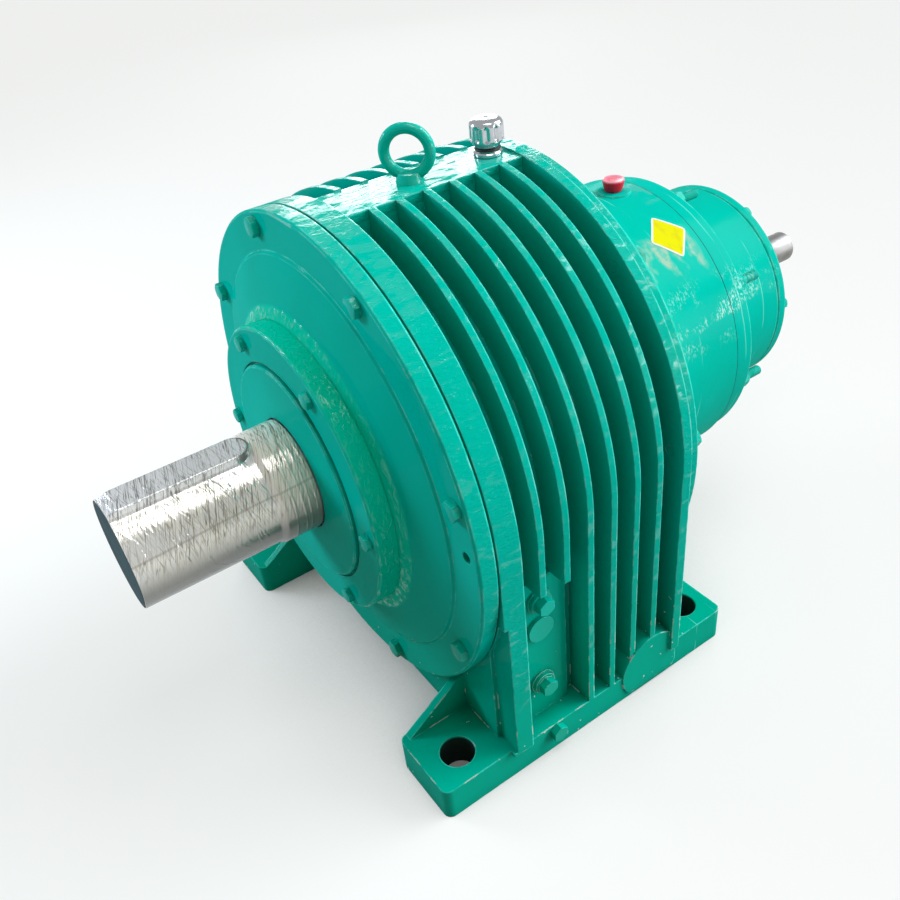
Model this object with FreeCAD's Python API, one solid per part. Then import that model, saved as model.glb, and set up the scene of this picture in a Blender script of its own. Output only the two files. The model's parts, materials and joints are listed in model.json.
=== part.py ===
"""Foot-mounted three-stage planetary gear reducer, in millimetres, +Z up.

The shafts lie along Y: the output end points to -Y and the input end to +Y.
The origin is the centre of the four foot holes, on the plane that the feet stand on.
Angles round the shaft axis are in degrees from the top, growing towards +X.
"""
import FreeCAD, Part
import math
import os

Vector = FreeCAD.Vector
ALONG_X = Vector(1, 0, 0)
ALONG_Y = Vector(0, 1, 0)
ALONG_Z = Vector(0, 0, 1)

# Edges, spigots and the reach of joined pieces into each other
EDGE_CHAMFER = 1.5
RIM_CHAMFER = 2.0
SHAFT_CHAMFER = 3.0
SPIGOT_LENGTH = 6.0
SPIGOT_WALL = 8.0
REACH = 1.0

# Casing: the shaft axis, the arched section and the stations along Y
SHAFT_HEIGHT = 258.0
FLANGE_RADIUS = 230.0
HALF_WIDTH = 225.0
FIN_ARC_RADIUS = 230.0
FIN_ARC_OFFSET = -5.0
WALL_RADIUS = 198.0
CAVITY_RADIUS = 183.0
SUMP_FLOOR = 15.0
POST_FLOOR = 33.0
POST_INNER = 205.0
POST_SETBACK = 4.0
POST_STEP_TOP = 198.0
FRONT_FACE = -104.0
JOINT_GROOVE = 2.5
FRONT_FLANGE_THICKNESS = 22.0
REAR_FACE = 103.5
REAR_FLANGE_THICKNESS = 10.0
FIN_THICKNESS = 6.5
FIN_PITCH = 26.1
FIRST_FIN = -59.0
FIN_COUNT = 6
RIDGE_HALF_WIDTH = 27.0
RIDGE_TOP = SHAFT_HEIGHT + 227.5
FRONT_BORE = 190.0
REAR_BORE = 122.0
WEB_THICKNESS = 12.0
OIL_WINDOW_RADIUS = 24.0
OIL_WINDOW_SPACING = 260.0
OIL_WINDOW_HEIGHT = 62.0

# Base: ledge under the fins, four feet and their gusset webs
LEDGE_HEIGHT = 33.0
FOOT_THICKNESS = 37.0
FRONT_FOOT_END = 177.5
REAR_FOOT_END = 171.5
FOOT_CORNER = 8.0
FOOT_HOLE_RADIUS = 16.5
FOOT_HOLE_X = 194.0
FOOT_HOLE_Y = 142.5
FOOT_INNER = 148.0
GUSSET_THICKNESS = 8.0
GUSSET_TOP = 82.0

# Oil pad on the +X side with its plugs, and the round boss behind it
PAD_FACE = 205.0
PAD_START = FRONT_FACE + FRONT_FLANGE_THICKNESS
PAD_END = -20.0
PAD_TOP = 205.0
PLUG_LINE = -50.5
OIL_PLUG_HEIGHTS = (181.0, 77.0)
OIL_PLUG_RADIUS = 10.0
OIL_WASHER_RADIUS = 12.5
OIL_WASHER_THICKNESS = 2.5
OIL_COLLAR_HEIGHT = 3.5
OIL_HEX_HEIGHT = 8.0
PLUG_HEX = 15.0
PLUG_TIP = CAVITY_RADIUS + 2.0
BLANK_HEIGHT = 147.0
BLANK_RADIUS = 13.5
BLANK_THICKNESS = 4.0
DRAIN_HEIGHT = 24.0
DRAIN_RADIUS = 7.0
DRAIN_HEX_HEIGHT = 7.0
ROUND_BOSS_Y = 70.0
ROUND_BOSS_HEIGHT = 29.0
ROUND_BOSS_RADIUS = 37.5
ROUND_BOSS_FACE = 226.5
ROUND_BOSS_FLOOR = 6.0

# Output end: cover, bearing cap, seal and shaft
COVER_FRONT = -122.5
PLATEAU_RADIUS = 195.0
PLATEAU_STEP = 2.5
COVER_HUB_WALL = 16.0
COVER_HUB_DRAFT = 2.0
COVER_INNER_FACE = FRONT_FACE - 8.0
COVER_SPIGOT_END = FRONT_FACE + 12.0
COVER_SPIGOT_WALL = 14.0
CAP_SLOPE_WIDTH = 14.0
CAP_SLOPE_HEIGHT = 5.0
BEARING_LIP = 9.5
REAR_BEARING_LIP = 17.5
LIP_THICKNESS = 6.0
CAP_SEAT = -139.5
CAP_RADIUS = 138.5
CAP_FRONT = -159.5
CAP_BOSS_RADIUS = 104.0
CAP_BOSS_FRONT = -163.0
CAP_BORE = 54.0
CAP_GROOVE_WIDTH = 2.5
CAP_GROOVE_DEPTH = 2.0
JACK_HOLE_ANGLES = (84.0, 264.0)
SHAFT_END = -328.5
SHAFT_SHOULDER = -197.5
SHAFT_RADIUS = 50.0
SEAL_JOURNAL_RADIUS = 52.5
JOURNAL_RADIUS = 60.0
JOURNAL_STEP = -140.0
KEY_ANGLE = 5.0
KEY_WIDTH = 28.0
KEY_HEIGHT = 16.0
KEY_DEPTH = 10.0
KEY_START = -318.5
KEY_END = -199.5
SEAL_RADIUS = 67.5
SEAL_START = -159.0
SEAL_WIDTH = 12.0
RUNNING_GAP = 0.05

# Rear end: rear cover, second-stage ring, flange, first-stage ring and input cover
REAR_COVER_RADIUS = 229.5
REAR_COVER_END = 117.0
REAR_RIM_CHAMFER = 6.5
MIDDLE_RADIUS = 150.0
MIDDLE_BORE = 125.0
MIDDLE_END = 253.5
MIDDLE_FLANGE_RADIUS = 146.0
MIDDLE_FLANGE_END = 277.5
SMALL_RADIUS = 111.0
SMALL_BORE = 90.0
SMALL_RING_END = 359.5
SMALL_END = 371.5
HUB_RADIUS = 50.0
HUB_END = 421.0
INPUT_CAP_END = 430.0
INPUT_SEAT_RADIUS = 20.0
INPUT_SEAL_RADIUS = 30.0
INPUT_SEAL_START = 419.0
INPUT_SEAL_END = 429.0
INPUT_CAP_BORE = 26.0
INPUT_BEARING_LIP = 4.0
INPUT_HUB_INSET = 2.0
HUB_CONE = 10.0
INPUT_STEP = 434.0
INPUT_RADIUS = 17.5
INPUT_END = 502.5
INPUT_KEYWAY_ANGLE = 217.5
INPUT_KEYWAY_WIDTH = 10.0
INPUT_KEYWAY_DEPTH = 5.0
INPUT_KEYWAY_START = 440.0
INPUT_KEYWAY_END = 496.0

# Fittings on top: lifting eye, breather and vent plug
EYE_Y = -4.5
EYE_INNER_RADIUS = 14.7
EYE_WIRE_RADIUS = 4.8
EYE_HEIGHT = 24.4
EYE_FACING = 45.0
EYE_SHANK_RADIUS = 6.0
EYE_SHANK_LENGTH = 26.0
EYE_COLLAR_RADIUS = 12.3
EYE_COLLAR_TAPER = 2.5
EYE_COLLAR_HEIGHT = 7.7
BREATHER_Y = 77.0
BREATHER_HEX = 24.0
BREATHER_HEX_HEIGHT = 5.0
BREATHER_NECK_RADIUS = 11.0
BREATHER_CAP_RADIUS = 15.0
BREATHER_CAP_START = 8.0
BREATHER_CAP_HEIGHT = 24.0
BREATHER_CAP_EDGE = 3.0
BREATHER_SHANK_RADIUS = 6.0
BREATHER_SHANK_LENGTH = 20.0
VENT_Y = 225.5
VENT_SEAT_RADIUS = 17.0
VENT_SEAT_TOP = SHAFT_HEIGHT + 151.0
VENT_SEAT_DEPTH = 14.0
VENT_RADIUS = 11.0
VENT_HEIGHT = 12.0
VENT_EDGE = 2.0
VENT_SHANK_RADIUS = 7.0
VENT_SHANK_LENGTH = 16.0
VENT_HOLE_DEPTH = 38.0

# Hex fasteners: shank radius, width across flats and head height
M10 = (5.0, 16.0, 6.4)
M10_NUT = (5.0, 16.0, 8.4)
M8 = (4.0, 13.0, 5.3)
M6 = (3.0, 10.0, 4.0)
BOLT_CLEARANCE = 0.5
TAP_SPARE = 2.0
STUD_END = 22.0

# Bolt rings: circle radius, count and first angle, and where the tips end along Y
COVER_BOLTS = (216.0, 8, -17.5)
CAP_BOLTS = (125.0, 6, -30.0)
REAR_BOLTS = (214.0, 8, -4.0)
MIDDLE_BOLTS = (136.0, 8, 13.5)
SMALL_BOLTS = (102.0, 6, 25.0)
INPUT_SCREWS = (44.5, 4, 45.0)
COVER_BOLT_TIP = FRONT_FACE + 18.0
CAP_BOLT_TIP = CAP_SEAT + 16.0
REAR_BOLT_TIP = REAR_FACE - REAR_FLANGE_THICKNESS
MIDDLE_BOLT_TIP = REAR_FACE + 2.0
SMALL_BOLT_TIP = MIDDLE_END + 8.0
INPUT_SCREW_TIP = HUB_END - 12.0

# Gear teeth: full-depth 20 degree teeth, thinned for backlash
PRESSURE_ANGLE = math.radians(20.0)
ROOT_DEPTH = 1.25
TOOTH_THINNING = 0.09
TOOTH_STOCK = 2.0
PLANET_COUNT = 3
PLATE_GAP = 4.0
RING_OVERHANG = 4.0
SUN_OVERHANG = 2.0
PIN_STOP = 4.0


class Stage:
    """One planetary stage: its teeth, its face along Y and the radii of its carrier's pieces."""

    def __init__(self, module, sun, planet, face, pin, bush, plate, column, column_circle):
        self.module = module
        self.sun = sun
        self.planet = planet
        self.ring = sun + 2 * planet
        self.face_start, self.face_end = face
        self.front_plate = self.face_start - PLATE_GAP
        self.rear_plate = self.face_end + PLATE_GAP
        self.ring_start = self.face_start - RING_OVERHANG
        self.ring_end = self.face_end + RING_OVERHANG
        self.pin = pin
        self.bush = bush
        self.plate = plate
        self.column = column
        self.column_circle = column_circle
        self.centre = module * (sun + planet) / 2.0
        self.ring_tip = module * (self.ring / 2.0 - 1.0)
        self.ring_root = module * (self.ring / 2.0 + ROOT_DEPTH)


OUTPUT_STAGE = Stage(
    module=5.0, sun=15, planet=24, face=(-44.0, 24.0),
    pin=22.0, bush=27.0, plate=145.0, column=28.0, column_circle=112.0)
MIDDLE_STAGE = Stage(
    module=3.75, sun=15, planet=24, face=(152.0, 214.0),
    pin=15.0, bush=19.0, plate=100.0, column=19.0, column_circle=84.0)
INPUT_STAGE = Stage(
    module=3.0, sun=15, planet=21, face=(297.0, 333.0),
    pin=10.0, bush=13.0, plate=78.0, column=12.0, column_circle=62.0)

# Output carrier: disc on the shaft, side plate with hub, and its screws
DISC_THICKNESS = 26.0
PLATE_THICKNESS = 24.0
HUB_SHOULDER = 72.0
CARRIER_HUB_BORE = 46.0
OUTPUT_RING_RADIUS = 178.0
SCREW_SHANK = 8.0
SCREW_HEAD = 12.0
SCREW_HEAD_HEIGHT = 12.0
SCREW_SINK = 14.0
SCREW_DEPTH = 36.0

# Inner carriers and the sun shafts splined into them
MIDDLE_PLATE_THICKNESS = 16.0
MIDDLE_REAR_THICKNESS = 14.0
MIDDLE_HUB_RADIUS = 44.0
MIDDLE_HUB_START = 108.0
MIDDLE_PLATE_BORE = 36.0
OUTPUT_SUN_SHAFT = 30.0
INPUT_PLATE_THICKNESS = 10.0
INPUT_HUB_RADIUS = 34.0
INPUT_HUB_START = 250.0
MIDDLE_FLANGE_BORE = 45.0
INPUT_PLATE_BORE = 28.0
MIDDLE_SUN_SHAFT = 22.0
INPUT_SUN_NECK = 18.0
INPUT_COLLAR = 24.0
INPUT_COLLAR_START = 340.0

# Roller bearings
ROLLER_GAP = 0.3
TRACK_SPARE = 1.0
LIP_SHARE = 0.6
CAGE_SHARE = 0.35
CAGE_LENGTH_SHARE = 0.72
SPACER_RADIUS = 25.0


class Bearing:
    """Two equal roller bearings on one shaft: radii, width, rollers and starts along Y."""

    def __init__(self, bore, outside, width, roller, roller_length, count, starts):
        self.bore = bore
        self.outside = outside
        self.width = width
        self.roller = roller
        self.roller_length = roller_length
        self.count = count
        self.starts = starts
        self.ends = [start + width for start in starts]


OUTPUT_BEARING = Bearing(
    bore=60.0, outside=107.5, width=40.0, roller=12.0, roller_length=22.0, count=16, starts=(-126.0, 60.0))
INPUT_BEARING = Bearing(
    bore=20.0, outside=40.0, width=18.0, roller=4.5, roller_length=9.0, count=13, starts=(352.0, 394.0))


def polar(radius, angle, y):
    """Point at a radius and angle round the shaft axis."""
    turn = math.radians(angle)
    return Vector(radius * math.sin(turn), y, SHAFT_HEIGHT + radius * math.cos(turn))


def turned(shape, angle):
    """Copy of a shape turned round the shaft axis."""
    copy = shape.copy()
    copy.rotate(Vector(0, 0, SHAFT_HEIGHT), ALONG_Y, angle)
    return copy


def around(shape, count, first=0.0):
    """Copies of a shape spaced evenly round the shaft axis."""
    return [turned(shape, first + 360.0 * i / count) for i in range(count)]


def rod(radius, start, end, circle=0.0, angle=0.0):
    """Round bar along Y, on the shaft axis or on a circle round it."""
    return Part.makeCylinder(radius, end - start, polar(circle, angle, start), ALONG_Y)


def tube(outer, inner, start, end, circle=0.0, angle=0.0):
    """Plain sleeve along Y."""
    return rod(outer, start, end, circle, angle).cut(rod(inner, start, end, circle, angle))


def revolved(outline):
    """Solid of revolution about the shaft axis from (radius, y) corners."""
    points = [Vector(0, y, SHAFT_HEIGHT + radius) for radius, y in outline]
    face = Part.Face(Part.makePolygon(points + points[:1]))
    return face.revolve(Vector(0, 0, SHAFT_HEIGHT), ALONG_Y, 360)


def box(x_range, y_range, z_range):
    """Block between pairs of limits."""
    corner = Vector(x_range[0], y_range[0], z_range[0])
    sizes = [limits[1] - limits[0] for limits in (x_range, y_range, z_range)]
    return Part.makeBox(sizes[0], sizes[1], sizes[2], corner)


def arch(radius, floor, start, end):
    """Plate with a round top and straight sides down to a floor."""
    left = Vector(-radius, start, SHAFT_HEIGHT)
    right = Vector(radius, start, SHAFT_HEIGHT)
    crown = Part.Arc(left, polar(radius, 0, start), right).toShape()
    low_right = Vector(radius, start, floor)
    low_left = Vector(-radius, start, floor)
    legs = Part.makePolygon([right, low_right, low_left, left])
    outline = Part.Wire([crown] + legs.Edges)
    return Part.Face(outline).extrude(Vector(0, end - start, 0))


def joined(shapes):
    """One solid out of several that meet."""
    return shapes[0].multiFuse(shapes[1:]).removeSplitter()


def hex_prism(across_flats, height, base, direction):
    """Six-sided head standing on a point."""
    corner = across_flats / math.sqrt(3.0)
    turns = [math.radians(60.0 * i) for i in range(7)]
    points = [Vector(corner * math.cos(t), corner * math.sin(t), 0) for t in turns]
    prism = Part.Face(Part.makePolygon(points)).extrude(Vector(0, 0, height))
    prism.Placement = FreeCAD.Placement(base, FreeCAD.Rotation(ALONG_Z, direction))
    return prism


def hex_bolts(size, ring, seat, tip, stud_end=0.0):
    """Ring of hex bolts along Y from the seat to the tip, or of studs that stand out of their nuts."""
    shank_radius, across_flats, head_height = size
    circle, count, first = ring
    inward = 1.0 if tip > seat else -1.0
    foot_point = polar(circle, 0, seat)
    head = hex_prism(across_flats, head_height, foot_point, Vector(0, -inward, 0))
    start = seat - inward * (head_height + stud_end) if stud_end else seat
    shank = Part.makeCylinder(shank_radius, abs(tip - start), polar(circle, 0, start), Vector(0, inward, 0))
    return around(joined([head, shank]), count, first)


def bolt_holes(radius, ring, start, end):
    """Ring of drilled holes along Y."""
    circle, count, first = ring
    return around(rod(radius, start, end, circle), count, first)


def along_x(radius, start, end, y, z):
    """Round bar along X."""
    return Part.makeCylinder(radius, end - start, Vector(start, y, z), ALONG_X)


def upright(radius, start, end, y):
    """Round bar along Z over the shaft axis."""
    return Part.makeCylinder(radius, end - start, Vector(0, y, start), ALONG_Z)


def rounded_bar(radius, start, end, y, edge):
    """Upright bar with a softened top edge."""
    bar = upright(radius, start, end, y)
    top = max(bar.Edges, key=lambda e: e.BoundBox.ZMin)
    return bar.makeFillet(edge, [top])


def involute(angle):
    """Involute of a pressure angle."""
    return math.tan(angle) - angle


def tooth_wire(teeth, module, low, high, thinning, first, centre, y):
    """Closed outline of all the teeth of a gear, each flank one arc through three involute points."""
    pitch_radius = module * teeth / 2.0
    base_radius = pitch_radius * math.cos(PRESSURE_ANGLE)
    start = max(low, base_radius)

    def half_angle(radius):
        pressure = math.acos(min(1.0, base_radius / radius))
        half = math.pi / (2 * teeth) - thinning / pitch_radius
        return math.degrees(half + involute(PRESSURE_ANGLE) - involute(pressure))

    def at(radius, angle):
        turn = math.radians(angle)
        return centre + Vector(radius * math.sin(turn), y - centre.y, radius * math.cos(turn))

    def arc(points):
        return Part.Arc(*points).toShape()

    def flank(middle, side):
        radii = (start, (start + high) / 2.0, high)
        return arc([at(r, middle + side * half_angle(r)) for r in radii])

    def foot(middle, side):
        angle = middle + side * half_angle(start)
        return Part.LineSegment(at(low, angle), at(start, angle)).toShape()

    edges = []
    for i in range(teeth):
        middle = first + 360.0 * i / teeth
        step = 360.0 / teeth
        tip = half_angle(high)
        root = half_angle(start)
        feet = [foot(middle, -1), foot(middle, 1)] if start > low else []
        edges += feet[:1] + [flank(middle, -1)]
        edges.append(arc([at(high, middle - tip), at(high, middle), at(high, middle + tip)]))
        edges += [flank(middle, 1)] + feet[1:]
        edges.append(arc([at(low, middle + root), at(low, middle + step / 2), at(low, middle + step - root)]))
    return Part.Wire(Part.__sortEdges__(edges))


def gear_blank(teeth, module, first, centre, start, end):
    """Outside-toothed gear with one tooth at the first angle."""
    low = module * (teeth / 2.0 - ROOT_DEPTH)
    high = module * (teeth / 2.0 + 1.0)
    outline = tooth_wire(teeth, module, low, high, TOOTH_THINNING, first, centre, start)
    return Part.Face(outline).extrude(Vector(0, end - start, 0))


def ring_spaces(stage, start, end):
    """What is cut out of a ring gear: its bore and the spaces between its teeth."""
    half_pitch = 180.0 / stage.ring
    first = half_pitch if stage.planet % 2 else 0.0
    centre = Vector(0, start, SHAFT_HEIGHT)
    outline = tooth_wire(
        stage.ring, stage.module, stage.ring_tip, stage.ring_root, -TOOTH_THINNING, first, centre, start)
    return Part.Face(outline).extrude(Vector(0, end - start, 0))


def sun_gear(stage, start, end):
    """Sun teeth with a tooth space towards each planet."""
    centre = Vector(0, start, SHAFT_HEIGHT)
    return gear_blank(stage.sun, stage.module, 180.0 / stage.sun, centre, start, end)


def planet_gear(stage, number):
    """Planet with one tooth pointing at the sun, bored to run on its bush."""
    angle = 360.0 * number / PLANET_COUNT
    centre = polar(stage.centre, angle, stage.face_start)
    gear = gear_blank(stage.planet, stage.module, angle + 180.0, centre, stage.face_start, stage.face_end)
    return gear.cut(rod(stage.bush + RUNNING_GAP, stage.face_start, stage.face_end, stage.centre, angle))


def planet_pins(stage, start, end):
    """Three pins that carry the planets of a stage."""
    return around(rod(stage.pin, start, end, stage.centre), PLANET_COUNT)


def planet_bushes(stage):
    """Three bronze sleeves between the carrier plates, one on each pin."""
    sleeve = tube(stage.bush, stage.pin, stage.front_plate, stage.rear_plate, stage.centre)
    return around(sleeve, PLANET_COUNT)


def between_planets(shape):
    """Copies of a shape from the top, turned to the places between the planets."""
    return around(shape, PLANET_COUNT, 180.0 / PLANET_COUNT)


def columns(stage, start, end):
    """Posts between the planets that join the two plates of a carrier."""
    return between_planets(rod(stage.column, start, end, stage.column_circle))


def key(start, end, width, height, low, angle):
    """Parallel key with round ends, lying along Y on a shaft."""
    radius = width / 2.0
    floor = SHAFT_HEIGHT + low
    middle = box((-radius, radius), (start + radius, end - radius), (floor, floor + height))
    ends = [upright(radius, floor, floor + height, y) for y in (start + radius, end - radius)]
    return turned(joined([middle] + ends), angle)


def foot(side, end):
    """One foot of the base with its gusset web; side is the sign of X and end the sign of Y."""
    face = -FRONT_FACE
    back = face - POST_SETBACK
    tip = FRONT_FOOT_END if end < 0 else REAR_FOOT_END
    plate = box((FOOT_INNER, HALF_WIDTH), (back, tip), (0, FOOT_THICKNESS))
    corners = [e for e in plate.Edges if e.BoundBox.ZLength > 1 and e.BoundBox.YMin > face]
    plate = plate.makeFillet(FOOT_CORNER, corners)
    slope = ((back, 0), (tip - FOOT_CORNER, 0), (tip - FOOT_CORNER, FOOT_THICKNESS),
             (face, GUSSET_TOP), (back, GUSSET_TOP), (back, 0))
    outline = Part.makePolygon([Vector(FOOT_INNER, y, z) for y, z in slope])
    gusset = Part.Face(outline).extrude(Vector(GUSSET_THICKNESS, 0, 0))
    whole = joined([plate, gusset])
    if side < 0:
        whole = whole.mirror(Vector(0, 0, 0), ALONG_X)
    if end < 0:
        whole = whole.mirror(Vector(0, 0, 0), ALONG_Y)
    return whole


def fin(place):
    """One cooling fin: a flat-sided arch struck a little to the far side, level with the ridge on top."""
    start = place - FIN_THICKNESS / 2.0
    end = place + FIN_THICKNESS / 2.0
    crown_centre = Vector(FIN_ARC_OFFSET, start, SHAFT_HEIGHT)
    crown = Part.makeCylinder(FIN_ARC_RADIUS, FIN_THICKNESS, crown_centre, ALONG_Y)
    legs = box((-HALF_WIDTH, HALF_WIDTH), (start, end), (0, SHAFT_HEIGHT))
    sides = box((-HALF_WIDTH, HALF_WIDTH), (start, end), (0, 2.0 * SHAFT_HEIGHT))
    over_ridge = box((-RIDGE_HALF_WIDTH, RIDGE_HALF_WIDTH), (start, end), (RIDGE_TOP, 2.0 * SHAFT_HEIGHT))
    return joined([crown, legs]).common(sides).cut(over_ridge)


def casting():
    """Outside of the main housing: arched wall, flanges, fins, ridge, base and pads."""
    front_end = FRONT_FACE + FRONT_FLANGE_THICKNESS
    rear_start = REAR_FACE - REAR_FLANGE_THICKNESS
    fins = [fin(FIRST_FIN + FIN_PITCH * i) for i in range(FIN_COUNT)]
    ledge = box((-HALF_WIDTH, HALF_WIDTH), (FRONT_FACE, REAR_FACE), (0, LEDGE_HEIGHT))
    ridge = box((-RIDGE_HALF_WIDTH, RIDGE_HALF_WIDTH), (FRONT_FACE, REAR_FACE), (SHAFT_HEIGHT, RIDGE_TOP))
    recess = box((PAD_FACE, FLANGE_RADIUS), (PAD_START, PAD_END), (LEDGE_HEIGHT, PAD_TOP))
    pad = box((CAVITY_RADIUS, PAD_FACE), (PAD_START, PAD_END), (LEDGE_HEIGHT, PAD_TOP))
    boss = along_x(ROUND_BOSS_RADIUS, CAVITY_RADIUS, ROUND_BOSS_FACE, ROUND_BOSS_Y, ROUND_BOSS_HEIGHT)
    boss = boss.common(box((0, ROUND_BOSS_FACE), (0, REAR_FACE), (ROUND_BOSS_FLOOR, SHAFT_HEIGHT)))
    feet = [foot(side, end) for side in (-1, 1) for end in (-1, 1)]
    body = joined([
        arch(WALL_RADIUS, 0, FRONT_FACE, REAR_FACE),
        arch(FLANGE_RADIUS, POST_FLOOR, FRONT_FACE, front_end),
        arch(FLANGE_RADIUS, LEDGE_HEIGHT, rear_start, REAR_FACE),
        ledge, ridge, boss] + fins + feet)
    return joined([body.cut([recess] + post_steps()), pad])


def post_steps():
    """Shallow steps in the front face, outside the cover's rim and over the front feet."""
    back = FRONT_FACE + POST_SETBACK
    step = box((POST_INNER, FLANGE_RADIUS), (FRONT_FACE, back), (FOOT_THICKNESS, POST_STEP_TOP))
    right = step.cut(rod(FLANGE_RADIUS, FRONT_FACE, back))
    return [right, right.mirror(Vector(0, 0, 0), ALONG_X)]


def ring_seats():
    """Two webs inside the housing, bored to hold the output stage's ring gear, with oil windows."""
    start = OUTPUT_STAGE.ring_start
    end = OUTPUT_STAGE.ring_end
    bore = rod(OUTPUT_RING_RADIUS, start, end)
    half = OIL_WINDOW_SPACING / 2.0
    windows = [
        Part.makeCylinder(OIL_WINDOW_RADIUS, end - start, Vector(x, start, OIL_WINDOW_HEIGHT), ALONG_Y)
        for x in (-half, half)]
    webs = [arch(CAVITY_RADIUS, SUMP_FLOOR, y, y + WEB_THICKNESS) for y in (start, end - WEB_THICKNESS)]
    return [web.cut([bore] + windows) for web in webs]


def housing_holes():
    """Foot holes, tapped bolt holes, plug holes and the holes of the fittings on top."""
    rear_start = REAR_FACE - REAR_FLANGE_THICKNESS
    holes = [
        Part.makeCylinder(FOOT_HOLE_RADIUS, FOOT_THICKNESS, Vector(x, y, 0), ALONG_Z)
        for x in (-FOOT_HOLE_X, FOOT_HOLE_X) for y in (-FOOT_HOLE_Y, FOOT_HOLE_Y)]
    holes += bolt_holes(M10[0], COVER_BOLTS, FRONT_FACE, COVER_BOLT_TIP + TAP_SPARE)
    holes += bolt_holes(M10[0], REAR_BOLTS, rear_start, REAR_FACE)
    for height in OIL_PLUG_HEIGHTS + (BLANK_HEIGHT,):
        holes.append(along_x(OIL_PLUG_RADIUS, CAVITY_RADIUS, PAD_FACE, PLUG_LINE, height))
    holes.append(along_x(DRAIN_RADIUS, CAVITY_RADIUS, HALF_WIDTH, PLUG_LINE, DRAIN_HEIGHT))
    holes.append(upright(EYE_SHANK_RADIUS, RIDGE_TOP - EYE_SHANK_LENGTH, RIDGE_TOP, EYE_Y))
    crown = SHAFT_HEIGHT + CAVITY_RADIUS
    holes.append(upright(BREATHER_SHANK_RADIUS, crown - REACH, RIDGE_TOP, BREATHER_Y))
    return holes


def main_housing():
    """Finned cast housing with its oil space, bores and tapped holes."""
    front_end = FRONT_FACE + FRONT_FLANGE_THICKNESS
    rear_start = REAR_FACE - REAR_FLANGE_THICKNESS
    hollows = [
        arch(CAVITY_RADIUS, SUMP_FLOOR, front_end, rear_start),
        rod(FRONT_BORE, FRONT_FACE, front_end),
        rod(REAR_BORE, rear_start, REAR_FACE)]
    shell = casting().cut(hollows)
    return joined([shell] + ring_seats()).cut(housing_holes())


def output_end_cover():
    """Round cover of the output end: bolted rim, raised middle and bearing bore."""
    outer = OUTPUT_BEARING.outside
    lip = outer - BEARING_LIP
    bearing_end = OUTPUT_BEARING.ends[0]
    lip_end = bearing_end + LIP_THICKNESS
    hub = outer + COVER_HUB_WALL
    spigot_bore = FRONT_BORE - COVER_SPIGOT_WALL
    body = revolved([
        (FLANGE_RADIUS - JOINT_GROOVE, FRONT_FACE), (FLANGE_RADIUS, FRONT_FACE - JOINT_GROOVE),
        (FLANGE_RADIUS, COVER_FRONT + RIM_CHAMFER), (FLANGE_RADIUS - RIM_CHAMFER, COVER_FRONT),
        (PLATEAU_RADIUS, COVER_FRONT), (PLATEAU_RADIUS - PLATEAU_STEP, COVER_FRONT - PLATEAU_STEP),
        (CAP_RADIUS + CAP_SLOPE_WIDTH, CAP_SEAT + CAP_SLOPE_HEIGHT), (CAP_RADIUS + RIM_CHAMFER, CAP_SEAT),
        (outer, CAP_SEAT), (outer, bearing_end), (lip, bearing_end), (lip, lip_end), (hub, lip_end),
        (hub + COVER_HUB_DRAFT, COVER_INNER_FACE), (spigot_bore, COVER_INNER_FACE),
        (spigot_bore, COVER_SPIGOT_END), (FRONT_BORE, COVER_SPIGOT_END), (FRONT_BORE, FRONT_FACE)])
    holes = bolt_holes(M10[0] + BOLT_CLEARANCE, COVER_BOLTS, COVER_FRONT, FRONT_FACE)
    holes += bolt_holes(M8[0], CAP_BOLTS, CAP_SEAT, CAP_BOLT_TIP + TAP_SPARE)
    holes += [rod(M10[0], COVER_FRONT, FRONT_FACE, COVER_BOLTS[0], angle) for angle in JACK_HOLE_ANGLES]
    return body.cut(holes)


def output_bearing_cap():
    """Cap over the output bearing, with a grooved boss and the seat of the shaft seal."""
    spigot = OUTPUT_BEARING.outside
    spigot_end = OUTPUT_BEARING.starts[0]
    groove = CAP_BOSS_RADIUS + CAP_GROOVE_WIDTH
    groove_floor = CAP_FRONT + CAP_GROOVE_DEPTH
    body = revolved([
        (CAP_RADIUS, CAP_SEAT), (CAP_RADIUS, CAP_FRONT + RIM_CHAMFER), (CAP_RADIUS - RIM_CHAMFER, CAP_FRONT),
        (groove, CAP_FRONT), (groove, groove_floor), (CAP_BOSS_RADIUS, groove_floor),
        (CAP_BOSS_RADIUS, CAP_BOSS_FRONT + EDGE_CHAMFER), (CAP_BOSS_RADIUS - EDGE_CHAMFER, CAP_BOSS_FRONT),
        (CAP_BORE, CAP_BOSS_FRONT), (CAP_BORE, SEAL_START), (SEAL_RADIUS, SEAL_START),
        (SEAL_RADIUS, spigot_end), (spigot, spigot_end), (spigot, CAP_SEAT)])
    return body.cut(bolt_holes(M8[0] + BOLT_CLEARANCE, CAP_BOLTS, CAP_FRONT, CAP_SEAT))


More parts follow.
